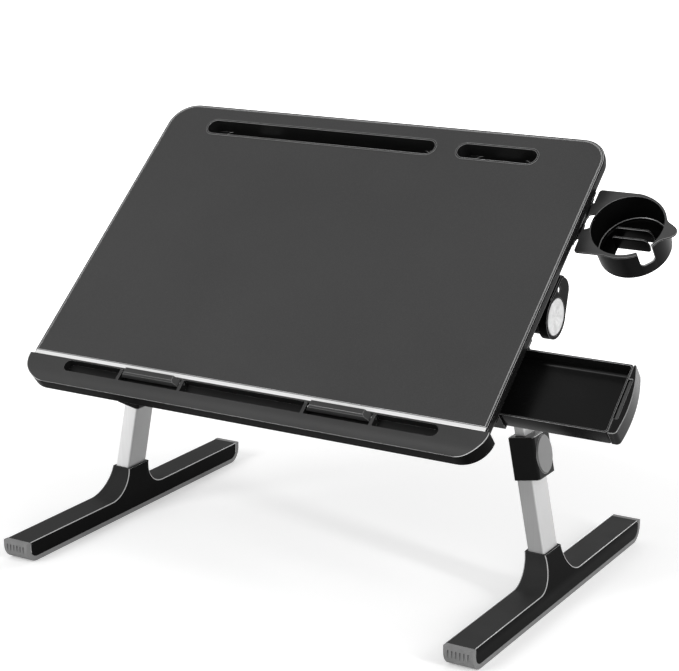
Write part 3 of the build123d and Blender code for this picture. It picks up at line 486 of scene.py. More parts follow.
def grow(name, tree, values, base):  # run a geometry tree on a mesh and keep the plain result
    obj = newObject(name, base)
    maker = obj.modifiers.new("grow", "NODES")
    maker.node_group = tree
    for socket in tree.interface.items_tree:
        if socket.in_out == "INPUT" and socket.name in values:
            maker[socket.identifier] = values[socket.name]
    mesh = plainMesh(obj, name)
    smooth(mesh)
    return mesh


def highlightBeadTree(material):  # a thin round bead along every edge of the mesh it is given, to carry a painted highlight
    shape = Shape("highlightBead", {"Radius": 0.0006, "Sides": 8})
    line = shape.add("MeshToCurve", sockets={"Mesh": shape.given("Geometry")})
    ring = shape.add("CurvePrimitiveCircle", {"mode": "RADIUS"},
                     {"Resolution": shape.given("Sides"), "Radius": shape.given("Radius")})
    bead = shape.add("CurveToMesh", sockets={"Curve": line, "Profile Curve": ring, "Fill Caps": True})
    return shape.end(bead, material)


highlightBeads = highlightBeadTree(paintedHighlight)
beadSink = 0.9  # share of its radius that a bead sits below the edge


# painted highlight lines: wanted looks at the normals of the two faces at an edge that is sharper than least
def highlightBeadLines(name, mesh, wanted, radius, least=35):
    bm = bmesh.new()
    bm.from_mesh(mesh)
    sharp = [edge for edge in bm.edges
             if len(edge.link_faces) == 2 and edge.calc_face_angle() > radians(least)]
    picked = [edge for edge in sharp if wanted(*(face.normal for face in edge.link_faces), edge)]
    push = {}
    for edge in picked:
        for vert in edge.verts:
            push.setdefault(vert, Vector())
            push[vert] += edge.link_faces[0].normal + edge.link_faces[1].normal
    index = {vert: k for k, vert in enumerate(push)}
    spots = [vert.co - way.normalized() * radius * beadSink for vert, way in push.items()]
    low, high = corners([vert.co for vert in bm.verts])
    for spot in spots:  # a bead never stands out of the piece's own box
        for k in range(3):
            spot[k] = min(max(spot[k], low[k] + radius), high[k] - radius)
    base = bpy.data.meshes.new(name)
    base.from_pydata(spots, [(index[edge.verts[0]], index[edge.verts[1]]) for edge in picked], [])
    bm.free()
    return grow(name, highlightBeads, {"Radius": radius}, base)


def looksSideways(normal):
    return abs(normal.x) > 0.8


def looksUp(normal):
    return normal.dot(deskUp) > 0.9


def looksOut(normal):  # upright on the desk, or facing down
    return normal.dot(deskUp) < 0.2


rail = {"top": 45.0, "edgeDrop": 15.0, "frontEdge": -204.0, "troughDrop": 0.5, "troughFront": -202.5,
        "troughEnd": 272.0}


def anyEdge(one, two, edge):
    return True


def topEdge(one, two, edge):
    return looksUp(one) != looksUp(two)


def panelEdge(one, two, edge):  # the ends of the panel, not its front and back
    along = (edge.verts[0].co - edge.verts[1].co).normalized().x
    return topEdge(one, two, edge) and abs(along) <= 0.9


def railEdge(one, two, edge):  # its outer top edge, not the trough's
    spot = onDesk((edge.verts[0].co + edge.verts[1].co) / 2)
    outside = spot.y < rail["frontEdge"] or abs(spot.x) > rail["troughEnd"]
    return looksOut(one) != looksOut(two) and spot.z > rail["top"] - rail["edgeDrop"] and outside


def footEdge(one, two, edge):  # round its sides, not along the sole
    return looksSideways(one) != looksSideways(two) and min(one.z, two.z) > -0.4


highlightBeadRules = {  # which edges get a painted highlight line, its radius in millimetres, the least angle of an edge
    "foot": (footEdge, 0.6), "desk_panel": (panelEdge, 0.25), "under_tray": (topEdge, 0.32),
    "clamp_collar": (anyEdge, 0.5), "front_rail": (railEdge, 0.5, 5),
    "tablet_slot_liner": (topEdge, 0.3), "phone_slot_liner": (topEdge, 0.3),
}


# the bezel's lug ends lower and its ring stands further out than on the solid
bezel = {"lugFrom": 22.0, "lugShorter": 0.82, "proud": 1.5, "ring": 24.6, "face": 0.6}


def shapeBezel(mesh):
    spots = [onDesk(vert.co) for vert in mesh.vertices]
    outer = max(abs(spot.x) for spot in spots)
    for vert, spot in zip(mesh.vertices, spots):
        onLug = spot.y > 0 and sqrt(spot.y ** 2 + spot.z ** 2) > bezel["ring"]
        if onLug or abs(spot.x) > outer - bezel["face"]:
            spot.x *= 1 + bezel["proud"] / outer
        if spot.y > bezel["lugFrom"]:
            spot.y = bezel["lugFrom"] + (spot.y - bezel["lugFrom"]) * bezel["lugShorter"]
        vert.co = deskPlace @ (spot * mm)


gripRecess = {"low": (0.04, 0.03, 0.04), "high": (0.6, 0.97, 0.97)}  # shares of the grip's box


def paintFoot(mesh):
    for poly in mesh.polygons:
        poly.material_index = int(looksSideways(poly.normal))
    return ["black_side"]


def paintGrip(mesh):  # the finger recess is painted lighter: painted light on its bed
    low, high = corners([onDesk(vert.co) for vert in mesh.vertices])
    for poly in mesh.polygons:
        spot = onDesk(poly.center)
        shares = [(spot[k] - low[k]) / (high[k] - low[k]) for k in range(3)]
        inside = [a < share < b for a, share, b in zip(gripRecess["low"], shares, gripRecess["high"])]
        poly.material_index = int(all(inside))
    return ["finger_recess"]


def paintRail(mesh):  # satin on top, black round its sides and in the trough
    for poly in mesh.polygons:
        spot = onDesk(poly.center)
        low = spot.z < rail["top"] - rail["troughDrop"]
        inTrough = low and spot.y > rail["troughFront"] and abs(spot.x) < rail["troughEnd"]
        poly.material_index = 2 if inTrough else int(looksOut(poly.normal))
    return ["black_side", "slot_plastic"]


painted = {"drawer_grip": paintGrip, "front_rail": paintRail, **{foot: paintFoot for foot in feet}}
for node, (width, steps) in roundedPieces.items():
    mesh = mergedCopy(node)
    smooth(mesh, 28)
    mats = [finishes[slotOf[node]]]
    if node.startswith("tilt_bezel"):
        shapeBezel(mesh)
    if node in painted:
        mats += [finishes[name] for name in painted[node](mesh)]
    lines = []
    if not node.startswith(unhighlightedPieces):
        # the last material, a painted highlight, goes onto the roundings and the bead lines
        mats.append(finishes["bright_edge"] if node.startswith(strongHighlightPieces) else paintedHighlight)
        lines = [highlightBeadLines(node, mesh, wanted, radius * mm, *least)
                 for stem, (wanted, radius, *least) in highlightBeadRules.items() if node.startswith(stem)]
    for mat in mats:
        mesh.materials.append(mat)
    mesh = rounded(pieceName(node), mesh, width * mm, steps)
    for line in lines:
        line.polygons.foreach_set("material_index", [len(mats) - 1] * len(line.polygons))
        mesh = joined(pieceName(node), [mesh, line])
    standIn(node, mesh, mats)
print("rounded pieces:", len(roundedPieces))


def smoothStandIn(node):  # small turned parts only need smooth shading
    mesh = mergedCopy(node)
    smooth(mesh)
    standIn(node, mesh)


for side in sides:
    for stem in smoothOnly:
        smoothStandIn(f"{stem}_{side}")


def loft(name, rings, closed=False):  # skin over rings of points, capped at both ends or joined end to start
    bm = bmesh.new()
    rows = [[bm.verts.new(point) for point in ring] for ring in rings]
    pairs = list(zip(rows, rows[1:])) + ([(rows[-1], rows[0])] if closed else [])
    for low, high in pairs:
        for k in range(len(low)):
            nxt = (k + 1) % len(low)
            bm.faces.new((low[k], low[nxt], high[nxt], high[k]))
    if not closed:
        bm.faces.new(rows[0][::-1])
        bm.faces.new(rows[-1])
    bmesh.ops.recalc_face_normals(bm, faces=bm.faces)
    return newMesh(name, bm)


def boxRing(low, high, radius, level, steps=6):  # rounded rectangle at a level, in millimetres
    points = []
    for k, (sx, sy) in enumerate(((1, 1), (-1, 1), (-1, -1), (1, -1))):
        cx = high[0] - radius if sx > 0 else low[0] + radius
        cy = high[1] - radius if sy > 0 else low[1] + radius
        for i in range(steps + 1):
            a = k * pi / 2 + i / steps * pi / 2
            points.append((cx + radius * cos(a), cy + radius * sin(a), level))
    return [Vector(point) * mm for point in points]


def circle(centre, radius, count=72, start=0.0, sweep=2 * pi):
    angles = [start + sweep * k / count for k in range(count)]
    return [(centre[0] + radius * cos(a), centre[1] + radius * sin(a)) for a in angles]


def roundLoop(points, radius, steps=5):  # a closed outline with its corners rounded
    loop = []
    for k, here in enumerate(points):
        here, before, after = Vector(here), Vector(points[k - 1]), Vector(points[(k + 1) % len(points)])
        one, two = (before - here), (after - here)
        cut = min(radius, one.length * 0.45, two.length * 0.45)
        a, b = here + one.normalized() * cut, here + two.normalized() * cut
        for i in range(steps + 1):
            t = i / steps
            loop.append(a * (1 - t) ** 2 + here * 2 * t * (1 - t) + b * t ** 2)
    return loop


# a flat plate with holes and softly rounded edges, drawn in millimetres
def plate(name, loops, low, high, edge):
    data = bpy.data.curves.new(name, "CURVE")
    data.dimensions, data.fill_mode = "2D", "BOTH"
    data.extrude, data.bevel_depth, data.bevel_resolution = ((high - low) / 2 - edge) * mm, edge * mm, 1
    data.offset = -edge * mm
    for loop in loops:
        spline = data.splines.new("POLY")
        spline.points.add(len(loop) - 1)
        for point, spot in zip(spline.points, loop):
            point.co = (spot[0] * mm, spot[1] * mm, 0, 1)
        spline.use_cyclic_u = True
    mesh = plainMesh(newObject(name, data), name)
    bm = bmesh.new()
    bm.from_mesh(mesh)
    bmesh.ops.remove_doubles(bm, verts=bm.verts, dist=weld / 2)
    bmesh.ops.recalc_face_normals(bm, faces=bm.faces)
    bm.to_mesh(mesh)
    bm.free()
    mesh.transform(Matrix.Translation((0, 0, (low + high) / 2 * mm)))
    return mesh


slant = (0.25, 0.92)  # faces of an edge are neither upright nor flat, by their normal's height


# slanted faces at a plate's edges take the second material, a painted highlight
def markHighlightEdges(mesh):
    for poly in mesh.polygons:
        if slant[0] < abs(poly.normal.z) < slant[1]:
            poly.material_index = 1


# cup holder: a flange plate with a thumb tab and a cut for a handle, a tapered wall with a ledge inside,
# and a floor with two upright bars. Lengths are in millimetres, angles in degrees from the right
cup = {
    "centre": (346.0, 119.5), "bore": 41.7, "rim": 44.2, "frontRim": 46.0, "frontRimFrom": -106,
    "backEdge": 46.0, "frontEdge": -45.0, "deskEdge": 297.0, "plateCorner": 5.0, "edge": 0.8,
    "thumbReach": 58.4, "thumbAngle": -2.0, "thumbSpread": 12.5, "thumbPower": 2.4,
    "flareFrom": 55, "flareOver": 35,
    "cutFrom": -57.0, "cutTo": -33.0, "cutDepth": 24.0, "cutCorner": 5.0,
    "plateTop": 22.5, "plateThick": 3.0, "wallDrop": 1.0, "ledge": -13.6, "ledgeDrop": 2.0,
    "floorLow": -19.5, "floorThick": 2.5, "floorRadius": 39.0,
    "floorHole": ((-20.0, -28.0), (-20.0, 11.5), (30.0, 11.5), (34.0, 6.0), (34.0, -10.0), (25.0, -28.0)),
    "floorHoleCorner": 3.0, "drain": (24.0, 24.0), "drainRadius": 1.6,
    "bars": (-1.35, 12.15), "barHeight": 20.0, "barSpan": (-23.0, 20.0), "barThick": 2.5, "barCorner": 4.0,
    "barSunk": 0.2, "barNose": 1.0, "barNoseHeight": 0.55, "barLean": 3.0,
    "neckReach": 284.0, "neckHalf": 26.0, "neckHoleFrom": 295.0, "neckHoleCorner": 1.2,
    "neckHole": ((0, 3), (2.4, 5), (2.4, 9), (8.6, 10.5), (9.6, 5), (8.2, -1), (9.2, -9), (3.0, -12.5),
                 (2.4, -5), (0, -3)),
    "tongue": (234.0, 296.0), "tongueHalf": 20.0, "tongueLevels": (19.5, 24.6, 26.5), "tongueCorner": 1.5,
    "wall": ((41.3, "floor", 0.0), (42.0, "floor", 0.7), (43.6, "top", -0.8), (43.1, "top", 0.0),
             (42.2, "top", 0.0), (41.7, "top", -0.8), (41.2, "ledge", 0.8), (40.9, "ledge", 0.25),
             (40.0, "ledge", -0.2), (39.6, "ledge", -0.7), (39.2, "floor", 3.4), (38.2, "floor", 2.4),
             (38.2, "floor", 0.0)),
    # rows of the wall's profile that take the painted highlight
    "wallHighlightRows": (2, 3, 4, 7),
}


def roundCup(angle, radius):  # a point round the middle of the cup
    return radius * cos(radians(angle)), radius * sin(radians(angle))


def fromCup(points):  # points drawn round the middle of the cup, put in their place on the desk
    return [(cup["centre"][0] + x, cup["centre"][1] + y) for x, y in points]


def cupRim(angle):
    flare = max(0.0, (abs(angle) - cup["flareFrom"]) / cup["flareOver"]) ** 2
    rim = cup["rim"] + (cup["backEdge"] - cup["rim"]) * flare
    thumb = exp(-abs((angle - cup["thumbAngle"]) / cup["thumbSpread"]) ** cup["thumbPower"])
    return rim + (cup["thumbReach"] - rim) * thumb


def cupPlateLoop():
    angles = [cup["cutTo"] + k * (90 - cup["cutTo"]) / 80 for k in range(81)]
    outer = [roundCup(angle, cupRim(angle)) for angle in angles]
    left, neck = (cup[key] - cup["centre"][0] for key in ("deskEdge", "neckReach"))
    half, back, front, corner = (cup[key] for key in ("neckHalf", "backEdge", "frontEdge", "plateCorner"))
    # of each rounded outline only the points of its middle corner
    backCorner = roundLoop([(0, back), (left, back), (left, 0)], corner)[6:12]
    neckLoop = [(left, half), (neck, half), (neck, -half), (left, -half)]
    frontCorner = roundLoop([(left, 0), (left, front), (0, front)], corner)[6:12]
    lastAngles = range(cup["frontRimFrom"], int(cup["cutFrom"]) + 1, 3)
    last = [roundCup(angle, cup["frontRim"]) for angle in lastAngles]
    sweep = radians(360 - (cup["cutTo"] - cup["cutFrom"]))
    inner = circle((0, 0), cup["bore"], 120, radians(cup["cutFrom"]), -sweep)
    inner.append(roundCup(cup["cutTo"], cup["bore"]))
    return fromCup([tuple(point) for point in outer + backCorner + neckLoop + frontCorner + last + inner])


def cupNeckHole():
    shape = [(cup["neckHoleFrom"] + x, cup["centre"][1] + y) for x, y in cup["neckHole"]]
    return roundLoop(shape[::-1], cup["neckHoleCorner"], 3)


def cupWallTop(angle):  # level of the wall's top, which drops to the foot of the handle cut
    full, foot = (cup["plateTop"] - cup[key] for key in ("wallDrop", "cutDepth"))
    corner = cup["cutCorner"]
    inside = min(angle - cup["cutFrom"], cup["cutTo"] - angle)
    if inside <= 0:
        return full
    across = radians(inside) * cup["bore"]
    return foot + (corner - sqrt(corner ** 2 - (corner - across) ** 2) if across < corner else 0)


def cupWall():
    angles = {-180 + 3 * k for k in range(120)}
    for side in (cup["cutFrom"], cup["cutTo"]):  # closer together at the sides of the cut
        for step in (0.05, 0.4, 0.9, 1.6, 2.4, 3.6, 5.0):
            angles |= {side - step, side + step}
    rings = []
    for angle in sorted(angles):
        top = cupWallTop(angle)
        levels = {"floor": cup["floorLow"], "top": top, "ledge": min(cup["ledge"], top - cup["ledgeDrop"])}
        spots = fromCup([roundCup(angle, radius) for radius, key, rise in cup["wall"]])
        heights = [levels[key] + rise for radius, key, rise in cup["wall"]]
        rings.append([Vector((x, y, z)) * mm for (x, y), z in zip(spots, heights)])
    mesh = loft("cupWall", rings, closed=True)
    for k, poly in enumerate(mesh.polygons):
        poly.material_index = int(k % len(cup["wall"]) in cup["wallHighlightRows"])
    return mesh


def cupBar(place):
    x0, x1 = (cup["centre"][0] + side for side in cup["barSpan"])
    low = cup["floorLow"] + cup["barSunk"]
    high = low + cup["barHeight"]
    nose = (x1 + cup["barNose"], low + cup["barHeight"] * cup["barNoseHeight"])
    shape = roundLoop([(x0, low), (x1, low), nose, (x1 - cup["barLean"], high), (x0, high)], cup["barCorner"])
    mesh = plate("cupBar", [shape], -cup["barThick"] / 2, cup["barThick"] / 2, cup["edge"])
    markHighlightEdges(mesh)
    stood = Matrix.Rotation(pi / 2, 4, "X")
    mesh.transform(Matrix.Translation((0, (cup["centre"][1] + place) * mm, 0)) @ stood)
    return mesh


def cupTongue():  # slides in the rails under the desk
    (x0, x1), y, levels = cup["tongue"], cup["centre"][1], cup["tongueLevels"]
    parts = []
    for half, pair in ((cup["tongueHalf"], levels[:2]), (cup["neckHalf"], levels[1:])):
        low, high = (x0, y - half), (x1, y + half)
        parts.append(loft("cupTongue", [boxRing(low, high, cup["tongueCorner"], z, 3) for z in pair]))
    return parts


flange = plate("cupFlange", [cupPlateLoop(), cupNeckHole()], cup["plateTop"] - cup["plateThick"],
               cup["plateTop"], cup["edge"])
markHighlightEdges(flange)
# faces that look up take the lighter tone: painted light on the plate's top
for poly in flange.polygons:
    if poly.normal.z > slant[1]:
        poly.material_index = 2
floorLoops = [circle(cup["centre"], cup["floorRadius"]),
              roundLoop(fromCup(cup["floorHole"]), cup["floorHoleCorner"]),
              circle(fromCup([cup["drain"]])[0], cup["drainRadius"], 16, 0.0, -2 * pi)]
cupFloor = plate("cupFloor", floorLoops, cup["floorLow"], cup["floorLow"] + cup["floorThick"], cup["edge"])
cupMesh = joined("cupHolder", [flange, cupFloor, cupWall(), *map(cupBar, cup["bars"]), *cupTongue()])
cupMesh.transform(deskPlace)
smooth(cupMesh, 32)
standIn("cup_holder", cupMesh, [finishes["cup_plastic"], paintedHighlight, finishes["cup_top"]])
print("cup holder:", len(cupMesh.polygons), "faces")

# drawer: thin walls with a soft cove down to the floor; the rings over the rim take a painted highlight
drawer = {"low": (252.0, -149.5), "high": (417.0, -62.5), "floor": 3.5, "top": 24.5, "wall": 2.0,
          "corner": 3.0, "cove": 4.0, "coveSteps": 8, "edge": 0.5, "highlightRings": (4, 6)}


def insetRing(box, inset, radius, level):  # a rounded rectangle inside a box
    low, high = ([value + way * inset for value in box[key]] for key, way in (("low", 1), ("high", -1)))
    return boxRing(low, high, radius, level)


def drawerTray():
    floor, top, wall = (drawer[key] for key in ("floor", "top", "wall"))
    edge, cove, corner = (drawer[key] for key in ("edge", "cove", "corner"))
    soft = edge * 0.3
    # inset, corner and level of each ring: up the outside, over the rim, down the inside and along the cove
    rules = [(1.2, 2.0, floor), (0.35, 2.6, floor + 0.35), (0, corner, floor + 1.2),
             (0, corner, top - edge), (soft, corner, top - soft), (edge, corner, top),
             (wall - edge, corner, top), (wall - soft, corner, top - soft), (wall, corner + 1, top - edge)]
    for k in range(drawer["coveSteps"] + 1):
        a = k / drawer["coveSteps"] * pi / 2
        inward = cove * (1 - cos(a))
        rules.append((wall + 0.6 + inward, corner + 2 + inward, floor + wall + cove * (1 - sin(a))))
    rings = [insetRing(drawer, *rule) for rule in rules]
    mesh = loft("drawerTray", rings)
    for k, poly in enumerate(mesh.polygons):
        poly.material_index = int(k // len(rings[0]) in drawer["highlightRings"])
    return mesh


mesh = drawerTray()
mesh.transform(deskPlace)
smooth(mesh, 40)
standIn("drawer_tray", mesh, [finishes["drawer_plastic"], paintedHighlight])

# the grip's finger recess has a bed painted lighter: painted light
recess = {"low": (417.6, -130.6), "high": (421.6, -81.4), "floor": 19.0, "top": 22.6, "corner": 1.2,
          "edge": 0.5}
rings = [insetRing(recess, inset, recess["corner"], level) for inset, level in (
    (0.0, recess["floor"]), (0.0, recess["top"] - recess["edge"]), (recess["edge"], recess["top"]))]
mesh = loft("fingerRecess", rings)
mesh.transform(deskPlace)
smooth(mesh, 40)
addPiece("fingerRecess", mesh, "drawer", [finishes["finger_recess"]])

# tilt buttons: a turned cap with a raised rim and a faint dish, as heights and radii
tiltButton = {"face": 298.5, "thick": 5.0, "least": 0.2,
              "profile": [(0.0, 0.0), (0.0, 20.3), (0.6, 20.9), (4.2, 20.9), (4.75, 20.65), (5.0, 20.1),
                          (5.0, 19.5), (4.93, 18.8), (4.82, 18.0), (4.74, 17.0), (4.7, 12.0), (4.72, 4.0),
                          (4.73, 0.6)]}
for side, sign in sides.items():
    start = tiltButton["face"] - tiltButton["thick"]
    rings = []
    for x, radius in tiltButton["profile"]:
        ring = circle((0, 0), max(radius, tiltButton["least"]), 96)
        rings.append([Vector((sign * (start + x), y, z)) * mm for y, z in ring])
    mesh = loft("tiltButton", rings)
    mesh.transform(deskPlace)
    smooth(mesh, 40)
    addPiece("tiltButton_" + side, mesh, "tilt_button_" + side, [finishes["button_white"]],
             ["tilt_button_" + side])

# a web joins each hinge's lug to the skirt, with the lug's hole left open and a thicker root under the skirt
lugWeb = {"outline": [(18, 8), (31, 3), (41, 8), (42, 20), (38, 26.6), (3, 26.6), (3, 20)], "corner": 5.0,
          "hole": (24.0, 18.5), "holeRadius": 4.8, "span": (296.7, 298.2), "edge": 0.4,
          "root": [(3, 23.4), (3, 26.6), (38, 26.6), (40.2, 23.4)], "rootCorner": 1.0,
          "rootSpan": (291.0, 297.8)}
upright = Matrix(((0, 0, 1, 0), (1, 0, 0, 0), (0, 1, 0, 0), (0, 0, 0, 1)))  # stands a flat drawing up
for side, sign in sides.items():
    web = [roundLoop(lugWeb["outline"], lugWeb["corner"]),
           circle(lugWeb["hole"], lugWeb["holeRadius"], 32, 0.0, -2 * pi)]
    root = [roundLoop(lugWeb["root"], lugWeb["rootCorner"])]
    plates = [plate("lugWeb", loops, *sorted(sign * x for x in lugWeb[span]), lugWeb["edge"])
              for loops, span in ((web, "span"), (root, "rootSpan"))]
    mesh = joined("lugWeb", plates)
    # the web's slanted edge faces take the painted highlight
    markHighlightEdges(mesh)
    mesh.transform(deskPlace @ upright)
    smooth(mesh, 32)
    addPiece("lugWeb_" + side, mesh, nodes["tilt_bezel_" + side]["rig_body"],
             [finishes["hinge_plastic"], paintedHighlight])
print("drawer, buttons and lugs done")


def pointMesh(name, points):
    base = bpy.data.meshes.new(name)
    base.from_pydata([tuple(point) for point in points], [], [])
    return base


# leg tubes: drawn rounded sections, hollow, swept up the leg. low and high are down from the fold pin
tubes = {
    "outer_tube": {"Width": 20.5, "Depth": 37.0, "Corner": 3.0, "Wall": 2.0, "low": 299.5, "high": 147.5},
    "inner_tube": {"Width": 13.0, "Depth": 28.0, "Corner": 2.5, "Wall": 1.5, "low": 185.5, "high": 16.0},
}
tubeSizes = ("Width", "Depth", "Corner", "Wall")


def tubeTree(material):
    shape = Shape("tubeSection", {**{label: 0.01 for label in tubeSizes}, "Length": 0.1})
    width, depth, corner, wall = (shape.given(label) for label in tubeSizes)
    loops = []
    for trim in (0.0, 2.0):
        frameLoop = shape.add("CurvePrimitiveQuadrilateral", {"mode": "RECTANGLE"},
                              {"Width": width - wall * trim, "Height": depth - wall * trim})
        loops.append(shape.add("FilletCurve", {"mode": "POLY"}, {
            "Curve": frameLoop, "Count": 6, "Radius": corner - wall * (trim * 0.35)}))
    both = shape.add("JoinGeometry", sockets={0: loops})
    ring = shape.add("FillCurve", {"mode": "TRIANGLES"}, {"Curve": both})
    swept = shape.add("ExtrudeMesh", {"mode": "FACES"}, {"Mesh": ring, "Offset Scale": shape.given("Length"),
                                                         "Individual": False})
    closed = shape.add("JoinGeometry", sockets={0: [shape.add("FlipFaces", sockets={0: ring}), swept]})
    welded = shape.add("MergeByDistance", sockets={"Geometry": closed, "Distance": weld / 2})
    return shape.end(welded, material)


for side in sides:
    tree = tubeTree(litShadedTubeFinishes[side])
    for stem, rule in tubes.items():
        node = f"{stem}_{side}"
        values = {label: rule[label] * mm for label in tubeSizes}
        values["Length"] = (rule["low"] - rule["high"]) * mm
        mesh = grow(pieceName(node), tree, values, pointMesh(node, [(0, 0, 0)]))
        mesh.transform(legPlace[side] @ Matrix.Translation((0, 0, -rule["low"] * mm)))
        standIn(node, mesh, [litShadedTubeFinishes[side]])
print("leg tubes done")


def islands(node, place):  # lowest and highest corner of each separate screw of a node
    inverse = place.inverted()
    bm = bmesh.new()
    bm.from_mesh(nodes[node].data)
    bmesh.ops.remove_doubles(bm, verts=bm.verts, dist=weld)
    left, found = set(bm.verts), []
    while left:
        group, front = set(), [left.pop()]
        while front:
            vert = front.pop()
            group.add(vert)
            near = {edge.other_vert(vert) for edge in vert.link_edges} & left
            left -= near
            front += near
        found.append(corners([inverse @ vert.co for vert in group]))
    bm.free()
    return sorted(found, key=lambda box: tuple(box[0]))


# pan-head screws with a cross recess, one head set on each screw's place
screwHead = {"Radius": 3.2 * mm, "Height": 1.4 * mm, "Shank": 1.5 * mm, "Recess": 0.75 * mm}


def screwTree(material):
    shape = Shape("panHead", {**screwHead, "Length": 0.01})
    radius, height = shape.given("Radius"), shape.given("Height")
    cross, length = shape.given("Recess"), shape.given("Length")
    dome = shape.add("MeshUVSphere", sockets={"Segments": 24, "Rings": 12, "Radius": 1.0})
    dome = shape.moved(dome, scale=shape.vector(radius, radius, height))
    above = shape.moved(shape.add("MeshCube", sockets={0: shape.vector(radius * 3, radius * 3, height * 2)}),
                        shift=shape.vector(0.0, 0.0, height))
    cutters = [above]
    for quarter in (0.0, pi / 2):
        bar = shape.add("MeshCube", sockets={0: shape.vector(radius * 1.15, cross, height)})
        cutters.append(shape.moved(bar, shift=shape.vector(0.0, 0.0, height * -0.95), turn=(0, 0, quarter)))
    head = shape.add("MeshBoolean", {"operation": "DIFFERENCE", "solver": "EXACT"},
                     {"Mesh 1": dome, "Mesh 2": cutters})
    shank = shape.add("MeshCylinder", sockets={"Vertices": 12, "Radius": shape.given("Shank"),
                                               "Depth": length})
    shank = shape.moved(shank, shift=shape.vector(0.0, 0.0, length * 0.5))
    whole = shape.add("JoinGeometry", sockets={0: [head, shank]})
    seats = shape.given("Geometry")
    return shape.end(shape.add("InstanceOnPoints", sockets={"Points": seats, "Instance": whole}), material)


def setScrews(node, place):  # place turns a frame whose screws point up into the part's frame
    spots = islands(node, place)
    rise = screwHead["Height"]
    seats = [Vector(((low.x + high.x) / 2, (low.y + high.y) / 2, low.z + rise)) for low, high in spots]
    length = min(high.z - low.z for low, high in spots) - rise
    mesh = grow(pieceName(node), screws, {"Length": length}, pointMesh("seats", seats))
    mesh.transform(place)
    standIn(node, mesh)
    print(node, len(seats))


screws = screwTree(finishes["steel"])
setScrews("tray_screws", deskPlace)
for side in sides:
    setScrews("foot_screws_" + side, Matrix.Rotation(pi / 2, 4, "X"))  # these heads look to the back
smoothStandIn("rail_screws")
smoothStandIn("stop_hinge_pins")

# cross ribs in the grooves of the stiffeners
ribs = {"Pitch": 7.0 * mm, "Rows": 4, "Row Pitch": 5.0 * mm, "Size X": 1.2 * mm, "Size Y": 2.5 * mm,
        "Size Z": 1.1 * mm}
ribPlace = {"ends": 16.0, "rise": 1.25}  # bare length of a stiffener, height of the ribs' middle


def ribTree(material):
    shape = Shape("crossRibs", {**ribs, "Count": 10})
    pitch, rowPitch, count, rows = (shape.given(label) for label in ("Pitch", "Row Pitch", "Count", "Rows"))
    field = shape.add("MeshGrid", sockets={"Size X": pitch * (count - 1), "Size Y": rowPitch * (rows - 1),
                                           "Vertices X": count, "Vertices Y": rows})
    bar = shape.add("MeshCube", sockets={0: shape.vector(*(shape.given("Size " + axis) for axis in "XYZ"))})
    return shape.end(shape.add("InstanceOnPoints", sockets={"Points": field, "Instance": bar}), material)


ribShape = ribTree(finishes["tray_plastic"])
for node in ("stiffener_front", "stiffener_rear"):
    low, high = corners([onDesk(vert.co) for vert in nodes[node].data.vertices])
    count = int((high.x - low.x - ribPlace["ends"]) * mm / ribs["Pitch"])
    name = pieceName(node) + "Ribs"
    mesh = grow(name, ribShape, {"Count": count}, pointMesh(node, [(0, 0, 0)]))
    middle = Vector(((low.x + high.x) / 2, (low.y + high.y) / 2, low.z + ribPlace["rise"])) * mm
    mesh.transform(deskPlace @ Matrix.Translation(middle))
    addPiece(name, mesh, nodes[node]["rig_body"], [finishes["tray_plastic"]])
print("ribs done")


# studio: pale floor, white behind, one large soft key and two strips that draw the edges
studio = {
    "world": 0.5, "floor": 0.93, "floorSwing": 0.01, "floorCloud": 0.6, "floorReach": 9.0,
    "lift": 0.30, "fadeFrom": 0.5, "fadeTo": 2.0,
    "lamps": {
        "key": {"place": (-1.2, -2.7, 1.9), "size": (1.4, 1.4), "power": 42},
        "edgeRight": {"place": (2.4, -0.6, 1.1), "size": (0.25, 1.6), "power": 22},
        "back": {"place": (0.3, 2.3, 1.35), "size": (3.0, 0.2), "power": 20},
    },
    "aim": (0.0, -0.02, 0.28),
}


def whiteRays(look):  # the background is white for the camera, straight, in a reflection or through glass
    camera, glossy, clear = (look.add("LightPath", out=f"Is {ray} Ray")
                             for ray in ("Camera", "Glossy", "Transmission"))
    either = look.add("Math", {"operation": "MAXIMUM"}, {0: camera, 1: glossy})
    return look.add("Math", {"operation": "MAXIMUM"}, {0: either, 1: clear})


worldLook = Finish("studio", bpy.data.worlds.new("studio"))
scene.world = worldLook.holder
seen = whiteRays(worldLook)
level = seen * (1 - studio["world"]) + studio["world"]
worldLook.add("OutputWorld", sockets={0: worldLook.add("Background", sockets={0: (1, 1, 1, 1), 1: level})})

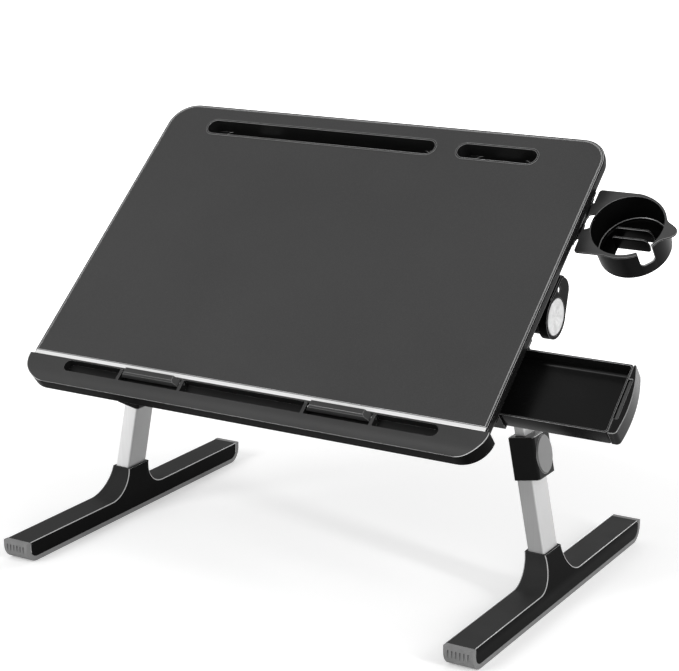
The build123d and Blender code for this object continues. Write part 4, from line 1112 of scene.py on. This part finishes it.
floorMesh = bpy.data.meshes.new("floor")
reach = studio["floorReach"]
floorMesh.from_pydata([(-reach, -reach, 0), (reach, -reach, 0), (reach, reach, 0), (-reach, reach, 0)], [],
                      [(0, 1, 2, 3)])
floor = newObject("floor", floorMesh)
floorLook = Finish("floor")
seen = whiteRays(floorLook)
swing = studio["floorSwing"]
tint = floorLook.noise(studio["floorCloud"], 2.0) * swing + (studio["floor"] - swing / 2)
paint = floorLook.add("BsdfDiffuse", sockets={0: tint})
spot = floorLook.add("TexCoord", out="Object")
far = floorLook.add("VectorMath", {"operation": "LENGTH"}, {0: spot}, out="Value")
fade = floorLook.ramp(far / reach, [(studio["fadeFrom"] / reach, 0.0), (studio["fadeTo"] / reach, 1.0)])
glow = floorLook.add("Emission", sockets={0: seen * (fade + studio["lift"])})
top = floorLook.add("AddShader", sockets={0: paint, 1: glow})
below = floorLook.add("NewGeometry", out="Backfacing")
clear = floorLook.add("BsdfTransparent")  # from below, so that the underside shows
floorLook.add("OutputMaterial", sockets={0: floorLook.add("MixShader", sockets={0: below, 1: top, 2: clear})})
floorMesh.materials.append(floorLook.holder)

for name, lamp in studio["lamps"].items():
    data = bpy.data.lights.new(name, "AREA")
    data.shape, data.size, data.size_y = "RECTANGLE", *lamp["size"]
    data.energy = lamp["power"]
    obj = newObject(name, data)
    obj.location = lamp["place"]
    obj.rotation_euler = (Vector(studio["aim"]) - obj.location).to_track_quat("-Z", "Y").to_euler()
    obj.visible_camera = False

camera = {"place": (1.0777, -1.8743, 0.8616), "down": 15.11, "round": 30.77, "lens": 101.54,
          "sensor": 36, "reach": 50}
cam = newObject("camera", bpy.data.cameras.new("camera"))
cam.location = camera["place"]
cam.rotation_euler = Euler((radians(90 - camera["down"]), 0, radians(camera["round"])), "XYZ")
cam.data.lens, cam.data.sensor_width, cam.data.sensor_fit = camera["lens"], camera["sensor"], "HORIZONTAL"
cam.data.clip_end = camera["reach"]
scene.camera = cam
scene.view_settings.view_transform = "Standard"
print("studio: lamps", list(studio["lamps"]))
